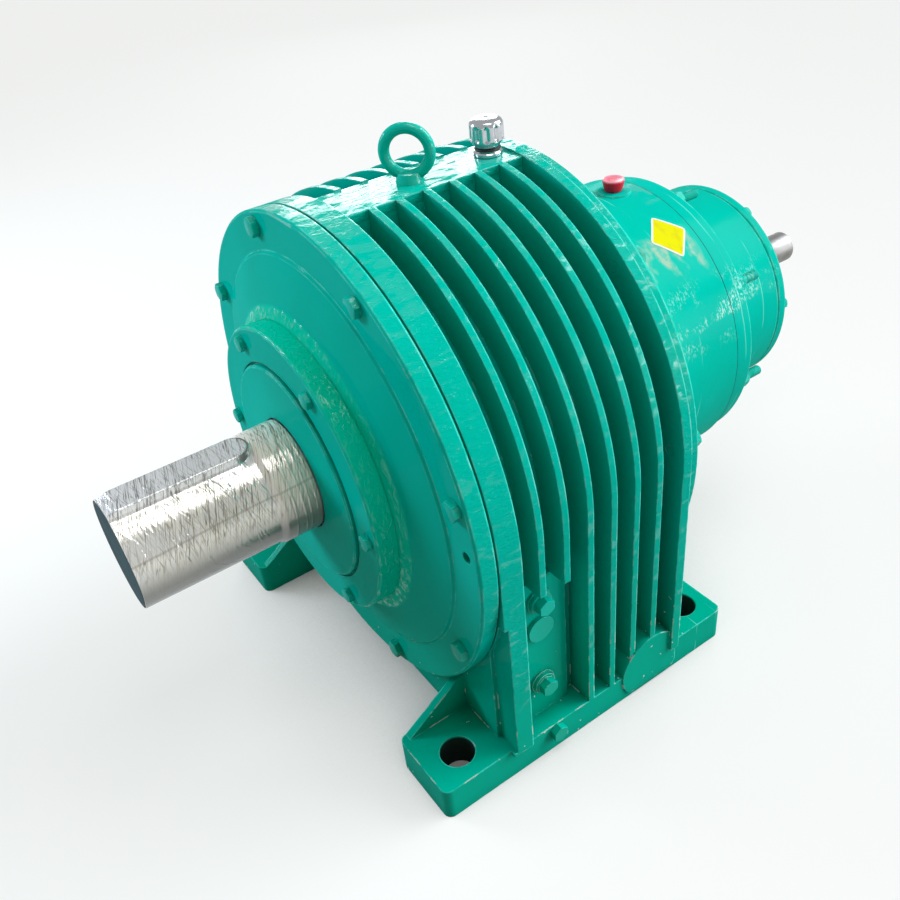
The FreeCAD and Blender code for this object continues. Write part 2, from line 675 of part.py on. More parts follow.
def output_shaft():
    """Output shaft in one piece with the front disc and columns of its planet carrier."""
    disc_end = OUTPUT_STAGE.front_plate
    disc_start = disc_end - DISC_THICKNESS
    column_end = OUTPUT_STAGE.rear_plate
    shoulder = OUTPUT_BEARING.ends[0]
    body = revolved([
        (0, SHAFT_END), (SHAFT_RADIUS - SHAFT_CHAMFER, SHAFT_END), (SHAFT_RADIUS, SHAFT_END + SHAFT_CHAMFER),
        (SHAFT_RADIUS, SHAFT_SHOULDER), (SEAL_JOURNAL_RADIUS - EDGE_CHAMFER, SHAFT_SHOULDER),
        (SEAL_JOURNAL_RADIUS, SHAFT_SHOULDER + EDGE_CHAMFER), (SEAL_JOURNAL_RADIUS, JOURNAL_STEP),
        (JOURNAL_RADIUS, JOURNAL_STEP), (JOURNAL_RADIUS, shoulder), (HUB_SHOULDER, shoulder),
        (HUB_SHOULDER, disc_start), (OUTPUT_STAGE.plate, disc_start), (OUTPUT_STAGE.plate, disc_end),
        (0, disc_end)])
    whole = joined([body] + columns(OUTPUT_STAGE, disc_end - REACH, column_end))
    cuts = planet_pins(OUTPUT_STAGE, disc_start + PIN_STOP, disc_end)
    cuts += column_holes(SCREW_SHANK, column_end - SCREW_DEPTH, column_end)
    cuts.append(output_key())
    return whole.cut(cuts)


def column_holes(radius, start, end):
    """Screw holes on the middles of the output carrier's columns."""
    return between_planets(rod(radius, start, end, OUTPUT_STAGE.column_circle))


def output_key():
    """Key of the output shaft."""
    return key(KEY_START, KEY_END, KEY_WIDTH, KEY_HEIGHT, SHAFT_RADIUS - KEY_DEPTH, KEY_ANGLE)


def output_carrier_plate():
    """Side plate of the output carrier, with the hub that runs in the rear bearing."""
    start = OUTPUT_STAGE.rear_plate
    end = start + PLATE_THICKNESS
    shoulder = OUTPUT_BEARING.starts[1]
    hub_end = OUTPUT_BEARING.ends[1]
    body = revolved([
        (CARRIER_HUB_BORE, start), (OUTPUT_STAGE.plate, start), (OUTPUT_STAGE.plate, end),
        (HUB_SHOULDER, end), (HUB_SHOULDER, shoulder), (JOURNAL_RADIUS, shoulder),
        (JOURNAL_RADIUS, hub_end), (CARRIER_HUB_BORE, hub_end)])
    cuts = planet_pins(OUTPUT_STAGE, start, end)
    cuts += column_holes(SCREW_SHANK + BOLT_CLEARANCE, start, end)
    cuts += column_holes(SCREW_HEAD + BOLT_CLEARANCE, end - SCREW_SINK, end)
    return body.cut(cuts)


def output_carrier_screws():
    """Cap screws that hold the side plate on the columns."""
    seat = OUTPUT_STAGE.rear_plate + PLATE_THICKNESS - SCREW_SINK
    tip = OUTPUT_STAGE.rear_plate - SCREW_DEPTH
    circle = OUTPUT_STAGE.column_circle
    shank = rod(SCREW_SHANK, tip, seat, circle)
    head = rod(SCREW_HEAD, seat, seat + SCREW_HEAD_HEIGHT, circle)
    return between_planets(joined([shank, head]))


def rear_cover():
    """Plate that closes the housing, with the rear bearing's hub and the seat of the second-stage ring."""
    outer = OUTPUT_BEARING.outside
    lip = outer - REAR_BEARING_LIP
    hub_start = OUTPUT_BEARING.starts[1] - PLATE_GAP
    bearing_end = OUTPUT_BEARING.ends[1]
    lip_end = bearing_end + LIP_THICKNESS
    spigot = REAR_COVER_END + SPIGOT_LENGTH
    spigot_bore = MIDDLE_BORE - SPIGOT_WALL
    body = revolved([
        (REAR_COVER_RADIUS, REAR_FACE), (REAR_COVER_RADIUS, REAR_COVER_END - REAR_RIM_CHAMFER),
        (REAR_COVER_RADIUS - REAR_RIM_CHAMFER, REAR_COVER_END), (MIDDLE_BORE, REAR_COVER_END),
        (MIDDLE_BORE, spigot), (spigot_bore, spigot), (spigot_bore, REAR_COVER_END),
        (JOURNAL_RADIUS, REAR_COVER_END), (JOURNAL_RADIUS, lip_end), (lip, lip_end), (lip, bearing_end),
        (outer, bearing_end), (outer, hub_start), (REAR_BORE, hub_start), (REAR_BORE, REAR_FACE)])
    holes = bolt_holes(M10[0] + BOLT_CLEARANCE, REAR_BOLTS, REAR_FACE, REAR_COVER_END)
    holes += bolt_holes(M10[0], MIDDLE_BOLTS, MIDDLE_BOLT_TIP - TAP_SPARE, REAR_COVER_END)
    return body.cut(holes)


def output_ring_gear():
    """Ring gear of the output stage, held in the housing's webs."""
    start = OUTPUT_STAGE.ring_start
    end = OUTPUT_STAGE.ring_end
    return rod(OUTPUT_RING_RADIUS, start, end).cut(ring_spaces(OUTPUT_STAGE, start, end))


def toothed_sleeve(stage, outer, bore, start, end):
    """Ring gear that is a casing ring as well: teeth in the middle, plain bores at both ends."""
    land = stage.ring_tip - TOOTH_STOCK
    edge = outer - EDGE_CHAMFER
    body = revolved([
        (edge, start), (outer, start + EDGE_CHAMFER), (outer, end - EDGE_CHAMFER), (edge, end), (bore, end),
        (bore, stage.ring_end), (land, stage.ring_end), (land, stage.ring_start), (bore, stage.ring_start),
        (bore, start)])
    return body.cut(ring_spaces(stage, stage.ring_start, stage.ring_end))


def middle_ring_gear():
    """Second-stage ring gear, with the flat seat and hole of the vent plug on top."""
    sleeve = toothed_sleeve(MIDDLE_STAGE, MIDDLE_RADIUS, MIDDLE_BORE, REAR_COVER_END, MIDDLE_END)
    seat = upright(VENT_SEAT_RADIUS, VENT_SEAT_TOP - VENT_SEAT_DEPTH, VENT_SEAT_TOP, VENT_Y)
    holes = bolt_holes(M10[0] + BOLT_CLEARANCE, MIDDLE_BOLTS, REAR_COVER_END, MIDDLE_END)
    holes.append(upright(VENT_SHANK_RADIUS, VENT_SEAT_TOP - VENT_HOLE_DEPTH, VENT_SEAT_TOP, VENT_Y))
    return joined([sleeve, seat]).cut(holes)


def middle_flange():
    """Flange between the second-stage and first-stage rings."""
    inner = MIDDLE_END - SPIGOT_LENGTH
    spigot = MIDDLE_FLANGE_END + SPIGOT_LENGTH
    spigot_bore = SMALL_BORE - SPIGOT_WALL
    edge = MIDDLE_FLANGE_RADIUS - EDGE_CHAMFER
    body = revolved([
        (edge, MIDDLE_END), (MIDDLE_FLANGE_RADIUS, MIDDLE_END + EDGE_CHAMFER),
        (MIDDLE_FLANGE_RADIUS, MIDDLE_FLANGE_END - EDGE_CHAMFER), (edge, MIDDLE_FLANGE_END),
        (SMALL_BORE, MIDDLE_FLANGE_END), (SMALL_BORE, spigot), (spigot_bore, spigot),
        (spigot_bore, MIDDLE_FLANGE_END), (MIDDLE_FLANGE_BORE, MIDDLE_FLANGE_END),
        (MIDDLE_FLANGE_BORE, inner), (MIDDLE_BORE, inner), (MIDDLE_BORE, MIDDLE_END)])
    holes = bolt_holes(M10[0] + BOLT_CLEARANCE, MIDDLE_BOLTS, MIDDLE_END, MIDDLE_FLANGE_END)
    holes += bolt_holes(M8[0], SMALL_BOLTS, SMALL_BOLT_TIP - TAP_SPARE, MIDDLE_FLANGE_END)
    return body.cut(holes)


def small_ring_gear():
    """First-stage ring gear."""
    sleeve = toothed_sleeve(INPUT_STAGE, SMALL_RADIUS, SMALL_BORE, MIDDLE_FLANGE_END, SMALL_RING_END)
    return sleeve.cut(bolt_holes(M8[0] + BOLT_CLEARANCE, SMALL_BOLTS, MIDDLE_FLANGE_END, SMALL_RING_END))


def input_end_cover():
    """Cover of the input end with a hub for the two input bearings."""
    outer = INPUT_BEARING.outside
    lip = outer - INPUT_BEARING_LIP
    lip_start = INPUT_BEARING.ends[0]
    lip_end = INPUT_BEARING.starts[1]
    hub_start = INPUT_BEARING.starts[0] - INPUT_HUB_INSET
    spigot = SMALL_RING_END - SPIGOT_LENGTH
    spigot_bore = SMALL_BORE - SPIGOT_WALL
    body = revolved([
        (SMALL_RADIUS - EDGE_CHAMFER, SMALL_RING_END), (SMALL_RADIUS, SMALL_RING_END + EDGE_CHAMFER),
        (SMALL_RADIUS, SMALL_END - RIM_CHAMFER), (SMALL_RADIUS - RIM_CHAMFER, SMALL_END),
        (HUB_RADIUS + HUB_CONE, SMALL_END), (HUB_RADIUS, SMALL_END + HUB_CONE), (HUB_RADIUS, HUB_END),
        (outer, HUB_END), (outer, lip_end), (lip, lip_end), (lip, lip_start), (outer, lip_start),
        (outer, hub_start), (HUB_RADIUS, hub_start), (HUB_RADIUS, SMALL_RING_END),
        (spigot_bore, SMALL_RING_END), (spigot_bore, spigot), (SMALL_BORE, spigot),
        (SMALL_BORE, SMALL_RING_END)])
    holes = bolt_holes(M8[0] + BOLT_CLEARANCE, SMALL_BOLTS, SMALL_RING_END, SMALL_END)
    holes += bolt_holes(M6[0], INPUT_SCREWS, INPUT_SCREW_TIP - TAP_SPARE, HUB_END)
    return body.cut(holes)


def input_bearing_cap():
    """Small cap over the input bearing, with the seat of the input seal."""
    outer = INPUT_BEARING.outside
    spigot = INPUT_BEARING.ends[1]
    body = revolved([
        (HUB_RADIUS, HUB_END), (HUB_RADIUS, INPUT_CAP_END - EDGE_CHAMFER),
        (HUB_RADIUS - EDGE_CHAMFER, INPUT_CAP_END), (INPUT_SEAL_RADIUS, INPUT_CAP_END),
        (INPUT_SEAL_RADIUS, INPUT_SEAL_START), (INPUT_CAP_BORE, INPUT_SEAL_START),
        (INPUT_CAP_BORE, spigot), (outer, spigot), (outer, HUB_END)])
    return body.cut(bolt_holes(M6[0] + BOLT_CLEARANCE, INPUT_SCREWS, HUB_END, INPUT_CAP_END))


def middle_carrier():
    """Second-stage carrier: two plates, three columns and a splined hub for the output sun shaft."""
    front_end = MIDDLE_STAGE.front_plate
    front_start = front_end - MIDDLE_PLATE_THICKNESS
    rear_start = MIDDLE_STAGE.rear_plate
    rear_end = rear_start + MIDDLE_REAR_THICKNESS
    front = revolved([
        (OUTPUT_SUN_SHAFT, MIDDLE_HUB_START), (MIDDLE_HUB_RADIUS, MIDDLE_HUB_START),
        (MIDDLE_HUB_RADIUS, front_start), (MIDDLE_STAGE.plate, front_start), (MIDDLE_STAGE.plate, front_end),
        (OUTPUT_SUN_SHAFT, front_end)])
    rear = tube(MIDDLE_STAGE.plate, MIDDLE_PLATE_BORE, rear_start, rear_end)
    whole = joined([front, rear] + columns(MIDDLE_STAGE, front_end - REACH, rear_start + REACH))
    return whole.cut(planet_pins(MIDDLE_STAGE, front_start + PIN_STOP, rear_end))


def input_carrier():
    """First-stage carrier: two plates, three columns and a splined hub for the middle sun shaft."""
    front_end = INPUT_STAGE.front_plate
    front_start = front_end - INPUT_PLATE_THICKNESS
    rear_start = INPUT_STAGE.rear_plate
    rear_end = rear_start + INPUT_PLATE_THICKNESS
    front = revolved([
        (MIDDLE_SUN_SHAFT, INPUT_HUB_START), (INPUT_HUB_RADIUS, INPUT_HUB_START),
        (INPUT_HUB_RADIUS, front_start), (INPUT_STAGE.plate, front_start), (INPUT_STAGE.plate, front_end),
        (MIDDLE_SUN_SHAFT, front_end)])
    rear = tube(INPUT_STAGE.plate, INPUT_PLATE_BORE, rear_start, rear_end)
    whole = joined([front, rear] + columns(INPUT_STAGE, front_end - REACH, rear_start + REACH))
    return whole.cut(planet_pins(INPUT_STAGE, front_start + PIN_STOP, rear_end))


def output_sun_shaft():
    """Sun of the output stage on the shaft that the second-stage carrier drives."""
    start = OUTPUT_STAGE.face_start - SUN_OVERHANG
    end = OUTPUT_STAGE.face_end + SUN_OVERHANG
    shaft = rod(OUTPUT_SUN_SHAFT, start + REACH, MIDDLE_STAGE.front_plate)
    return joined([sun_gear(OUTPUT_STAGE, start, end), shaft])


def middle_sun_shaft():
    """Sun of the second stage on the shaft that the first-stage carrier drives."""
    start = MIDDLE_STAGE.face_start
    end = MIDDLE_STAGE.face_end + SUN_OVERHANG
    shaft = rod(MIDDLE_SUN_SHAFT, start + REACH, INPUT_STAGE.front_plate)
    return joined([sun_gear(MIDDLE_STAGE, start, end), shaft])


def input_sun_shaft():
    """Input shaft with the first-stage sun cut on its inner end and an open keyway on its outer end."""
    sun_end = INPUT_STAGE.face_end + SUN_OVERHANG
    neck_start = sun_end - REACH
    first = INPUT_BEARING.starts[0]
    body = revolved([
        (0, neck_start), (INPUT_SUN_NECK, neck_start), (INPUT_SUN_NECK, INPUT_COLLAR_START),
        (INPUT_COLLAR, INPUT_COLLAR_START), (INPUT_COLLAR, first), (INPUT_SEAT_RADIUS, first),
        (INPUT_SEAT_RADIUS, INPUT_STEP), (INPUT_RADIUS, INPUT_STEP), (INPUT_RADIUS, INPUT_END - RIM_CHAMFER),
        (INPUT_RADIUS - RIM_CHAMFER, INPUT_END), (0, INPUT_END)])
    sun = sun_gear(INPUT_STAGE, INPUT_STAGE.face_start - REACH, sun_end)
    return joined([body, sun]).cut(input_keyway())


def input_keyway():
    """What is cut out of the input shaft for the key of a coupling."""
    low = INPUT_RADIUS - INPUT_KEYWAY_DEPTH
    return key(
        INPUT_KEYWAY_START, INPUT_KEYWAY_END, INPUT_KEYWAY_WIDTH, INPUT_RADIUS, low, INPUT_KEYWAY_ANGLE)


def bearing_pieces(bearing):
    """Outer rings, inner rings and caged rollers of the equal bearings on one shaft."""
    pitch = (bearing.bore + bearing.outside) / 2.0
    race_inner = pitch - bearing.roller - ROLLER_GAP
    race_outer = pitch + bearing.roller + ROLLER_GAP
    lip = pitch + bearing.roller * LIP_SHARE
    cage_half = bearing.roller * CAGE_SHARE
    half_length = bearing.roller_length / 2.0
    half_cage = bearing.roller_length * CAGE_LENGTH_SHARE
    outers, inners, rollers = [], [], []
    for start, end in zip(bearing.starts, bearing.ends):
        middle = (start + end) / 2.0
        low = middle - half_length - TRACK_SPARE
        high = middle + half_length + TRACK_SPARE
        outers.append(revolved([
            (bearing.outside, start), (bearing.outside, end), (lip, end), (lip, high),
            (race_outer, high), (race_outer, low), (lip, low), (lip, start)]))
        inners.append(tube(race_inner, bearing.bore, start, end))
        bars = around(rod(bearing.roller, middle - half_length, middle + half_length, pitch), bearing.count)
        cage = tube(pitch + cage_half, pitch - cage_half, middle - half_cage, middle + half_cage)
        rollers += bars + [cage.cut(bars)]
    return outers, inners, rollers


def lifting_eye_bolt():
    """Forged eye bolt: ring, collar and shank in one piece."""
    ring_radius = EYE_INNER_RADIUS + EYE_WIRE_RADIUS
    turn = math.radians(EYE_FACING)
    facing = Vector(math.sin(turn), -math.cos(turn), 0)
    ring = Part.makeTorus(ring_radius, EYE_WIRE_RADIUS, Vector(0, EYE_Y, RIDGE_TOP + EYE_HEIGHT), facing)
    collar_top = EYE_COLLAR_RADIUS - EYE_COLLAR_TAPER
    foot_point = Vector(0, EYE_Y, RIDGE_TOP)
    collar = Part.makeCone(EYE_COLLAR_RADIUS, collar_top, EYE_COLLAR_HEIGHT, foot_point, ALONG_Z)
    shank = upright(EYE_SHANK_RADIUS, RIDGE_TOP - EYE_SHANK_LENGTH, RIDGE_TOP + REACH, EYE_Y)
    return joined([collar, ring, shank])


def breather_body():
    """Hex base, neck and threaded shank of the breather."""
    foot_point = Vector(0, BREATHER_Y, RIDGE_TOP)
    return joined([
        hex_prism(BREATHER_HEX, BREATHER_HEX_HEIGHT, foot_point, ALONG_Z),
        upright(BREATHER_NECK_RADIUS, RIDGE_TOP, RIDGE_TOP + BREATHER_CAP_START, BREATHER_Y),
        upright(BREATHER_SHANK_RADIUS, RIDGE_TOP - BREATHER_SHANK_LENGTH, RIDGE_TOP, BREATHER_Y)])


def breather_cap():
    """Round cap of the breather with a softened top edge."""
    start = RIDGE_TOP + BREATHER_CAP_START
    end = start + BREATHER_CAP_HEIGHT
    return rounded_bar(BREATHER_CAP_RADIUS, start, end, BREATHER_Y, BREATHER_CAP_EDGE)


def vent_plug():
    """Round plug with a shank, on the flat seat of the second-stage ring."""
    head = rounded_bar(VENT_RADIUS, VENT_SEAT_TOP, VENT_SEAT_TOP + VENT_HEIGHT, VENT_Y, VENT_EDGE)
    shank = upright(VENT_SHANK_RADIUS, VENT_SEAT_TOP - VENT_SHANK_LENGTH, VENT_SEAT_TOP, VENT_Y)
    return joined([head, shank])


def oil_level_plugs():
    """Two collared hex plugs on the oil pad."""
    seat = PAD_FACE + OIL_WASHER_THICKNESS
    collar_end = seat + OIL_COLLAR_HEIGHT
    plugs = []
    for height in OIL_PLUG_HEIGHTS:
        collar = along_x(OIL_PLUG_RADIUS + REACH, seat, collar_end, PLUG_LINE, height)
        shank = along_x(OIL_PLUG_RADIUS, PLUG_TIP, seat, PLUG_LINE, height)
        head = hex_prism(PLUG_HEX, OIL_HEX_HEIGHT, Vector(collar_end, PLUG_LINE, height), ALONG_X)
        plugs.append(joined([collar, shank, head]))
    return plugs


def oil_level_washers():
    """Sealing washers under the two oil plugs."""
    end = PAD_FACE + OIL_WASHER_THICKNESS
    return [
        along_x(OIL_WASHER_RADIUS, PAD_FACE, end, PLUG_LINE, z).cut(
            along_x(OIL_PLUG_RADIUS, PAD_FACE, end, PLUG_LINE, z))
        for z in OIL_PLUG_HEIGHTS]


def blank_plug():
    """Round blank plug between the two oil plugs."""
    head = along_x(BLANK_RADIUS, PAD_FACE, PAD_FACE + BLANK_THICKNESS, PLUG_LINE, BLANK_HEIGHT)
    shank = along_x(OIL_PLUG_RADIUS, PLUG_TIP, PAD_FACE, PLUG_LINE, BLANK_HEIGHT)
    return joined([head, shank])


def drain_plug():
    """Small hex plug low on the base."""
    head = hex_prism(PLUG_HEX, DRAIN_HEX_HEIGHT, Vector(HALF_WIDTH, PLUG_LINE, DRAIN_HEIGHT), ALONG_X)
    shank = along_x(DRAIN_RADIUS, PLUG_TIP, HALF_WIDTH, PLUG_LINE, DRAIN_HEIGHT)
    return joined([head, shank])


def save(name, solids):
    """Write one node, which may hold several equal solids."""
    shape = solids[0] if len(solids) == 1 else Part.makeCompound(solids)
    shape.exportStep("parts/" + name + ".step")


def casing_nodes():
    """Everything that stands still."""
    output_seal = tube(SEAL_RADIUS, SEAL_JOURNAL_RADIUS + RUNNING_GAP, SEAL_START, SEAL_START + SEAL_WIDTH)
    input_seal = tube(
        INPUT_SEAL_RADIUS, INPUT_SEAT_RADIUS + RUNNING_GAP, INPUT_SEAL_START, INPUT_SEAL_END)
    return {
        "main_housing": [main_housing()],
        "output_end_cover": [output_end_cover()],
        "output_end_cover_bolts": hex_bolts(M10, COVER_BOLTS, COVER_FRONT, COVER_BOLT_TIP),
        "output_bearing_cap": [output_bearing_cap()],
        "output_bearing_cap_bolts": hex_bolts(M8, CAP_BOLTS, CAP_FRONT, CAP_BOLT_TIP),
        "output_oil_seal": [output_seal],
        "output_ring_gear": [output_ring_gear()],
        "rear_cover": [rear_cover()],
        "rear_cover_bolts": hex_bolts(M10, REAR_BOLTS, REAR_COVER_END, REAR_BOLT_TIP),
        "middle_ring_gear": [middle_ring_gear()],
        "middle_flange": [middle_flange()],
        "middle_clamp_bolts": hex_bolts(M10_NUT, MIDDLE_BOLTS, MIDDLE_FLANGE_END, MIDDLE_BOLT_TIP, STUD_END),
        "small_ring_gear": [small_ring_gear()],
        "input_end_cover": [input_end_cover()],
        "small_clamp_bolts": hex_bolts(M8, SMALL_BOLTS, SMALL_END, SMALL_BOLT_TIP),
        "input_bearing_cap": [input_bearing_cap()],
        "input_bearing_cap_screws": hex_bolts(M6, INPUT_SCREWS, INPUT_CAP_END, INPUT_SCREW_TIP),
        "input_oil_seal": [input_seal],
        "lifting_eye_bolt": [lifting_eye_bolt()],
        "breather_body": [breather_body()],
        "breather_cap": [breather_cap()],
        "vent_plug": [vent_plug()],
        "oil_level_plugs": oil_level_plugs(),
        "oil_level_washers": oil_level_washers(),
        "blank_plug": [blank_plug()],
        "drain_plug": [drain_plug()],
    }


def rotor_nodes():
    """Shafts, carriers, pins and bushes that turn together."""
    output_start = OUTPUT_STAGE.front_plate - DISC_THICKNESS + PIN_STOP
    output_end = OUTPUT_STAGE.rear_plate + PLATE_THICKNESS
    middle_start = MIDDLE_STAGE.front_plate - MIDDLE_PLATE_THICKNESS + PIN_STOP
    middle_end = MIDDLE_STAGE.rear_plate + MIDDLE_REAR_THICKNESS
    input_start = INPUT_STAGE.front_plate - INPUT_PLATE_THICKNESS + PIN_STOP
    input_end = INPUT_STAGE.rear_plate + INPUT_PLATE_THICKNESS
    spacer = tube(SPACER_RADIUS, INPUT_SEAT_RADIUS, INPUT_BEARING.ends[0], INPUT_BEARING.starts[1])
    return {
        "output_shaft": [output_shaft()],
        "output_key": [output_key()],
        "output_carrier_plate": [output_carrier_plate()],
        "output_carrier_screws": output_carrier_screws(),
        "output_planet_pins": planet_pins(OUTPUT_STAGE, output_start, output_end),
        "output_planet_bushes": planet_bushes(OUTPUT_STAGE),
        "middle_carrier": [middle_carrier()],
        "output_sun_shaft": [output_sun_shaft()],
        "middle_planet_pins": planet_pins(MIDDLE_STAGE, middle_start, middle_end),
        "middle_planet_bushes": planet_bushes(MIDDLE_STAGE),
        "input_carrier": [input_carrier()],
        "middle_sun_shaft": [middle_sun_shaft()],
        "input_planet_pins": planet_pins(INPUT_STAGE, input_start, input_end),
        "input_planet_bushes": planet_bushes(INPUT_STAGE),
        "input_sun_shaft": [input_sun_shaft()],
        "input_spacer": [spacer],
    }


def bearing_nodes():
    """Rings and caged rollers of the output and input bearings."""
    nodes = {}
    for name, bearing in (("output", OUTPUT_BEARING), ("input", INPUT_BEARING)):
        outers, inners, rollers = bearing_pieces(bearing)
        nodes[name + "_bearing_outer_rings"] = outers
        nodes[name + "_bearing_inner_rings"] = inners
        nodes[name + "_bearing_rollers"] = rollers
    return nodes


def planet_nodes():
    """The nine planet gears, each a piece of its own."""
    nodes = {}
    for name, stage in (("output", OUTPUT_STAGE), ("middle", MIDDLE_STAGE), ("input", INPUT_STAGE)):
        for number in range(PLANET_COUNT):
            nodes[name + "_planet_gear_" + str(number + 1)] = [planet_gear(stage, number)]
    return nodes


def main():
    """Build every node and write it out."""
    os.makedirs("parts", exist_ok=True)
    for group in (casing_nodes(), rotor_nodes(), bearing_nodes(), planet_nodes()):
        for name, solids in group.items():
            save(name, solids)


main()
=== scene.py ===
"""Looks of the planetary gear reducer: paint, metals, shaft film, breather, plug, bolts and label.

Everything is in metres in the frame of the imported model: shafts along Y, output end at -Y, +Z up.
"""
import bpy
import bmesh
import json
import math
import random
import numpy as np
from mathutils import Matrix, Vector


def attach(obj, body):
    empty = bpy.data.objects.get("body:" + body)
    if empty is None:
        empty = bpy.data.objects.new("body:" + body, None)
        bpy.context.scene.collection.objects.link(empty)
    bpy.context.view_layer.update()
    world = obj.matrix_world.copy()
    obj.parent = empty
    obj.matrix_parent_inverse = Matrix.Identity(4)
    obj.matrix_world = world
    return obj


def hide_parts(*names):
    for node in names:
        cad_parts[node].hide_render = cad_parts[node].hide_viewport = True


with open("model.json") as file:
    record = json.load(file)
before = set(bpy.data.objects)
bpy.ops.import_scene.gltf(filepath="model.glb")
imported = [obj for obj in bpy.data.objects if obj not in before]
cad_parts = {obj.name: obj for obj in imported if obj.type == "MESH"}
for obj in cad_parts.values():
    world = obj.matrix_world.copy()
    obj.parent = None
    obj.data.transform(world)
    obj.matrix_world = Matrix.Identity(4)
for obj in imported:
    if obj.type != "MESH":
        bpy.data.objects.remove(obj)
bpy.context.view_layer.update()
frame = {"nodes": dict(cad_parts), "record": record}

# Camera of the photograph
CAMERA_PLACE = Vector((0.6570, -0.3937, 0.7621))
CAMERA_RIGHT = Vector((0.57227, 0.81485, -0.09244))
CAMERA_UP = Vector((-0.44247, 0.40171, 0.80180))
CAMERA_BACK = Vector((0.69046, -0.41793, 0.59042))
SENSOR = 36.0
LENS = 37.31

# Sizes taken over from the model
AXIS_Z = 0.258
RIDGE_TOP = 0.4855
SHAFT_END = -0.3285
SHAFT_SHOULDER = -0.1975
SHAFT_RADIUS = 0.050
SEAL_JOURNAL_RADIUS = 0.0525
CAP_BOSS_FRONT = -0.163
KEY_ANGLE = math.radians(5.0)
KEY_HALF_WIDTH = 0.014
KEY_TOP = 0.056
KEY_START = -0.3185
KEY_END = -0.1995
BREATHER_Y = 0.077
BREATHER_CAP_BOTTOM = RIDGE_TOP + 0.008
BREATHER_CAP_RADIUS = 0.015
BREATHER_CAP_HEIGHT = 0.024
VENT_Y = 0.2255
VENT_SEAT = 0.409
VENT_RADIUS = 0.011
VENT_HEIGHT = 0.012
MIDDLE_RADIUS = 0.150
MIDDLE_JOINT = 0.2535
STUD_END = 0.022
CAP_RADIUS = 0.1385
FOOT_HOLE_X = 0.194
FOOT_HOLE_Y = 0.1425
FOOT_HOLE_RADIUS = 0.0165
FOOT_TOP = 0.037

# Fine detail of the breather cap and the bolts
FLUTES = 10
FLUTE_BOTTOM = 0.0045
FLUTE_TOP = 0.0205
FLUTE_FADE = 0.003
FLUTE_DEPTH = 0.11
THREAD_PITCH = 0.0015
THREAD_DEPTH = 0.0005
WASHER_FACE = 0.0008

# Zones of the paint: starts and full ends of rims, rear rings and chips, reach of the painted shade in gaps,
# and pale lines
RIM_START = 0.2195
RIM_FULL = 0.2225
REAR_START = 0.112
REAR_FULL = 0.122
CHIPS_START = 0.110
CHIPS_FULL = 0.095
GAP_SHADE_REACH = 0.035
PAINT_LINES = (0.135, 0.163, 0.204, 0.268, 0.335)

# Rounding of painted edges and coat of gloss, on castings and on small pieces
CAST_ROUND = 0.0020
CAST_GLOSS = 0.05
FINE_ROUND = 0.0006
FINE_GLOSS = 0.22

# Bare label on the second-stage ring
LABEL_TURN = math.radians(31.5)
LABEL_Y = 0.2225
LABEL_HALF_ARC = 0.0262
LABEL_HALF_WIDE = 0.0225
LABEL_STEPS = 28
LABEL_LIFT = 0.0003

# Wrapping film: gap over the steel, mesh, deepest furrow and the rings gathered by the cap
FILM_GAP = 0.0005
FILM_ROWS = 250
FILM_STEPS = 300
FILM_FURROW = -0.0003
FILM_RINGS = (-0.1875, -0.1790, -0.1735, -0.1675)
FILM_SEED = 11

# Creases of the film: count, angle, station, slant, half length, width and height.
# The slant has a mean and a spread, the others a range.
CREASES = (
    (240, (-0.30, 1.65), (-0.324, -0.202), (0.22, 0.18), (0.005, 0.015), (0.0006, 0.0011), (4e-5, 17e-5)),
    (30, (-0.5, 1.5), (-0.196, -0.170), (0.0, 0.12), (0.006, 0.016), (0.0006, 0.0011), (4e-5, 13e-5)),
    (26, (1.1, 6.0), (-0.322, -0.205), (1.0, 0.35), (0.008, 0.022), (0.0006, 0.0009), (8e-5, 22e-5)),
)

# Level of the surround as light, as seen by the camera, and added to what gloss mirrors
WORLD_LIGHT = 0.24
WORLD_SEEN = 0.97
WORLD_MIRRORED = 0.30
FLOOR_SIZE = 9.0
FLOOR_LIFT = 0.60
LAMP_TARGET = Vector((0.0, 0.0, 0.25))

# Bolt rings: node, thread radius, width across flats, head height, circle, count, first angle, seat and tip
BOLT_RINGS = (
    ("output_end_cover_bolts", 0.0050, 0.016, 0.0064, 0.2160, 8, -17.5, -0.1225, -0.0860),
    ("output_bearing_cap_bolts", 0.0040, 0.013, 0.0053, 0.1250, 6, -30.0, -0.1595, -0.1235),
    ("rear_cover_bolts", 0.0050, 0.016, 0.0064, 0.2140, 8, -4.0, 0.1170, 0.0935),
    ("middle_clamp_bolts", 0.0050, 0.016, 0.0084, 0.1360, 8, 13.5, 0.2775, 0.1055),
    ("small_clamp_bolts", 0.0040, 0.013, 0.0053, 0.1020, 6, 25.0, 0.3715, 0.2615),
    ("input_bearing_cap_screws", 0.0030, 0.010, 0.0040, 0.0445, 4, 45.0, 0.4300, 0.4090),
)

# Colours, linear
GREEN_DARK = (0.0, 0.53, 0.415)
GREEN = (0.0, 0.59, 0.475)
GREEN_DEEP = (0.0, 0.40, 0.30)
GREEN_LOW_SHADE = (0.0, 0.40, 0.265)
GAP_SHADE = (0.0, 0.17, 0.13)
GREEN_PALE = (0.24, 0.84, 0.74)
EDGE_PALE = (0.13, 0.96, 0.84)
GREEN_SLOPE_LIGHT = (0.0, 0.70, 0.47)
CHIP_WHITE = (0.80, 0.88, 0.84)
GLINT = (0.40, 0.90, 0.83)
SCUFF = (0.56, 0.62, 0.45)
HOLE_SHADE = (0.024, 0.050, 0.042)
STEEL_DARK = (0.36, 0.36, 0.36)
END_DARK = (0.09, 0.145, 0.16)
END_PALE = (0.17, 0.23, 0.25)
CHROME = (0.60, 0.63, 0.66)
BRONZE = (0.62, 0.40, 0.16)
BRONZE_DARK = (0.40, 0.24, 0.09)
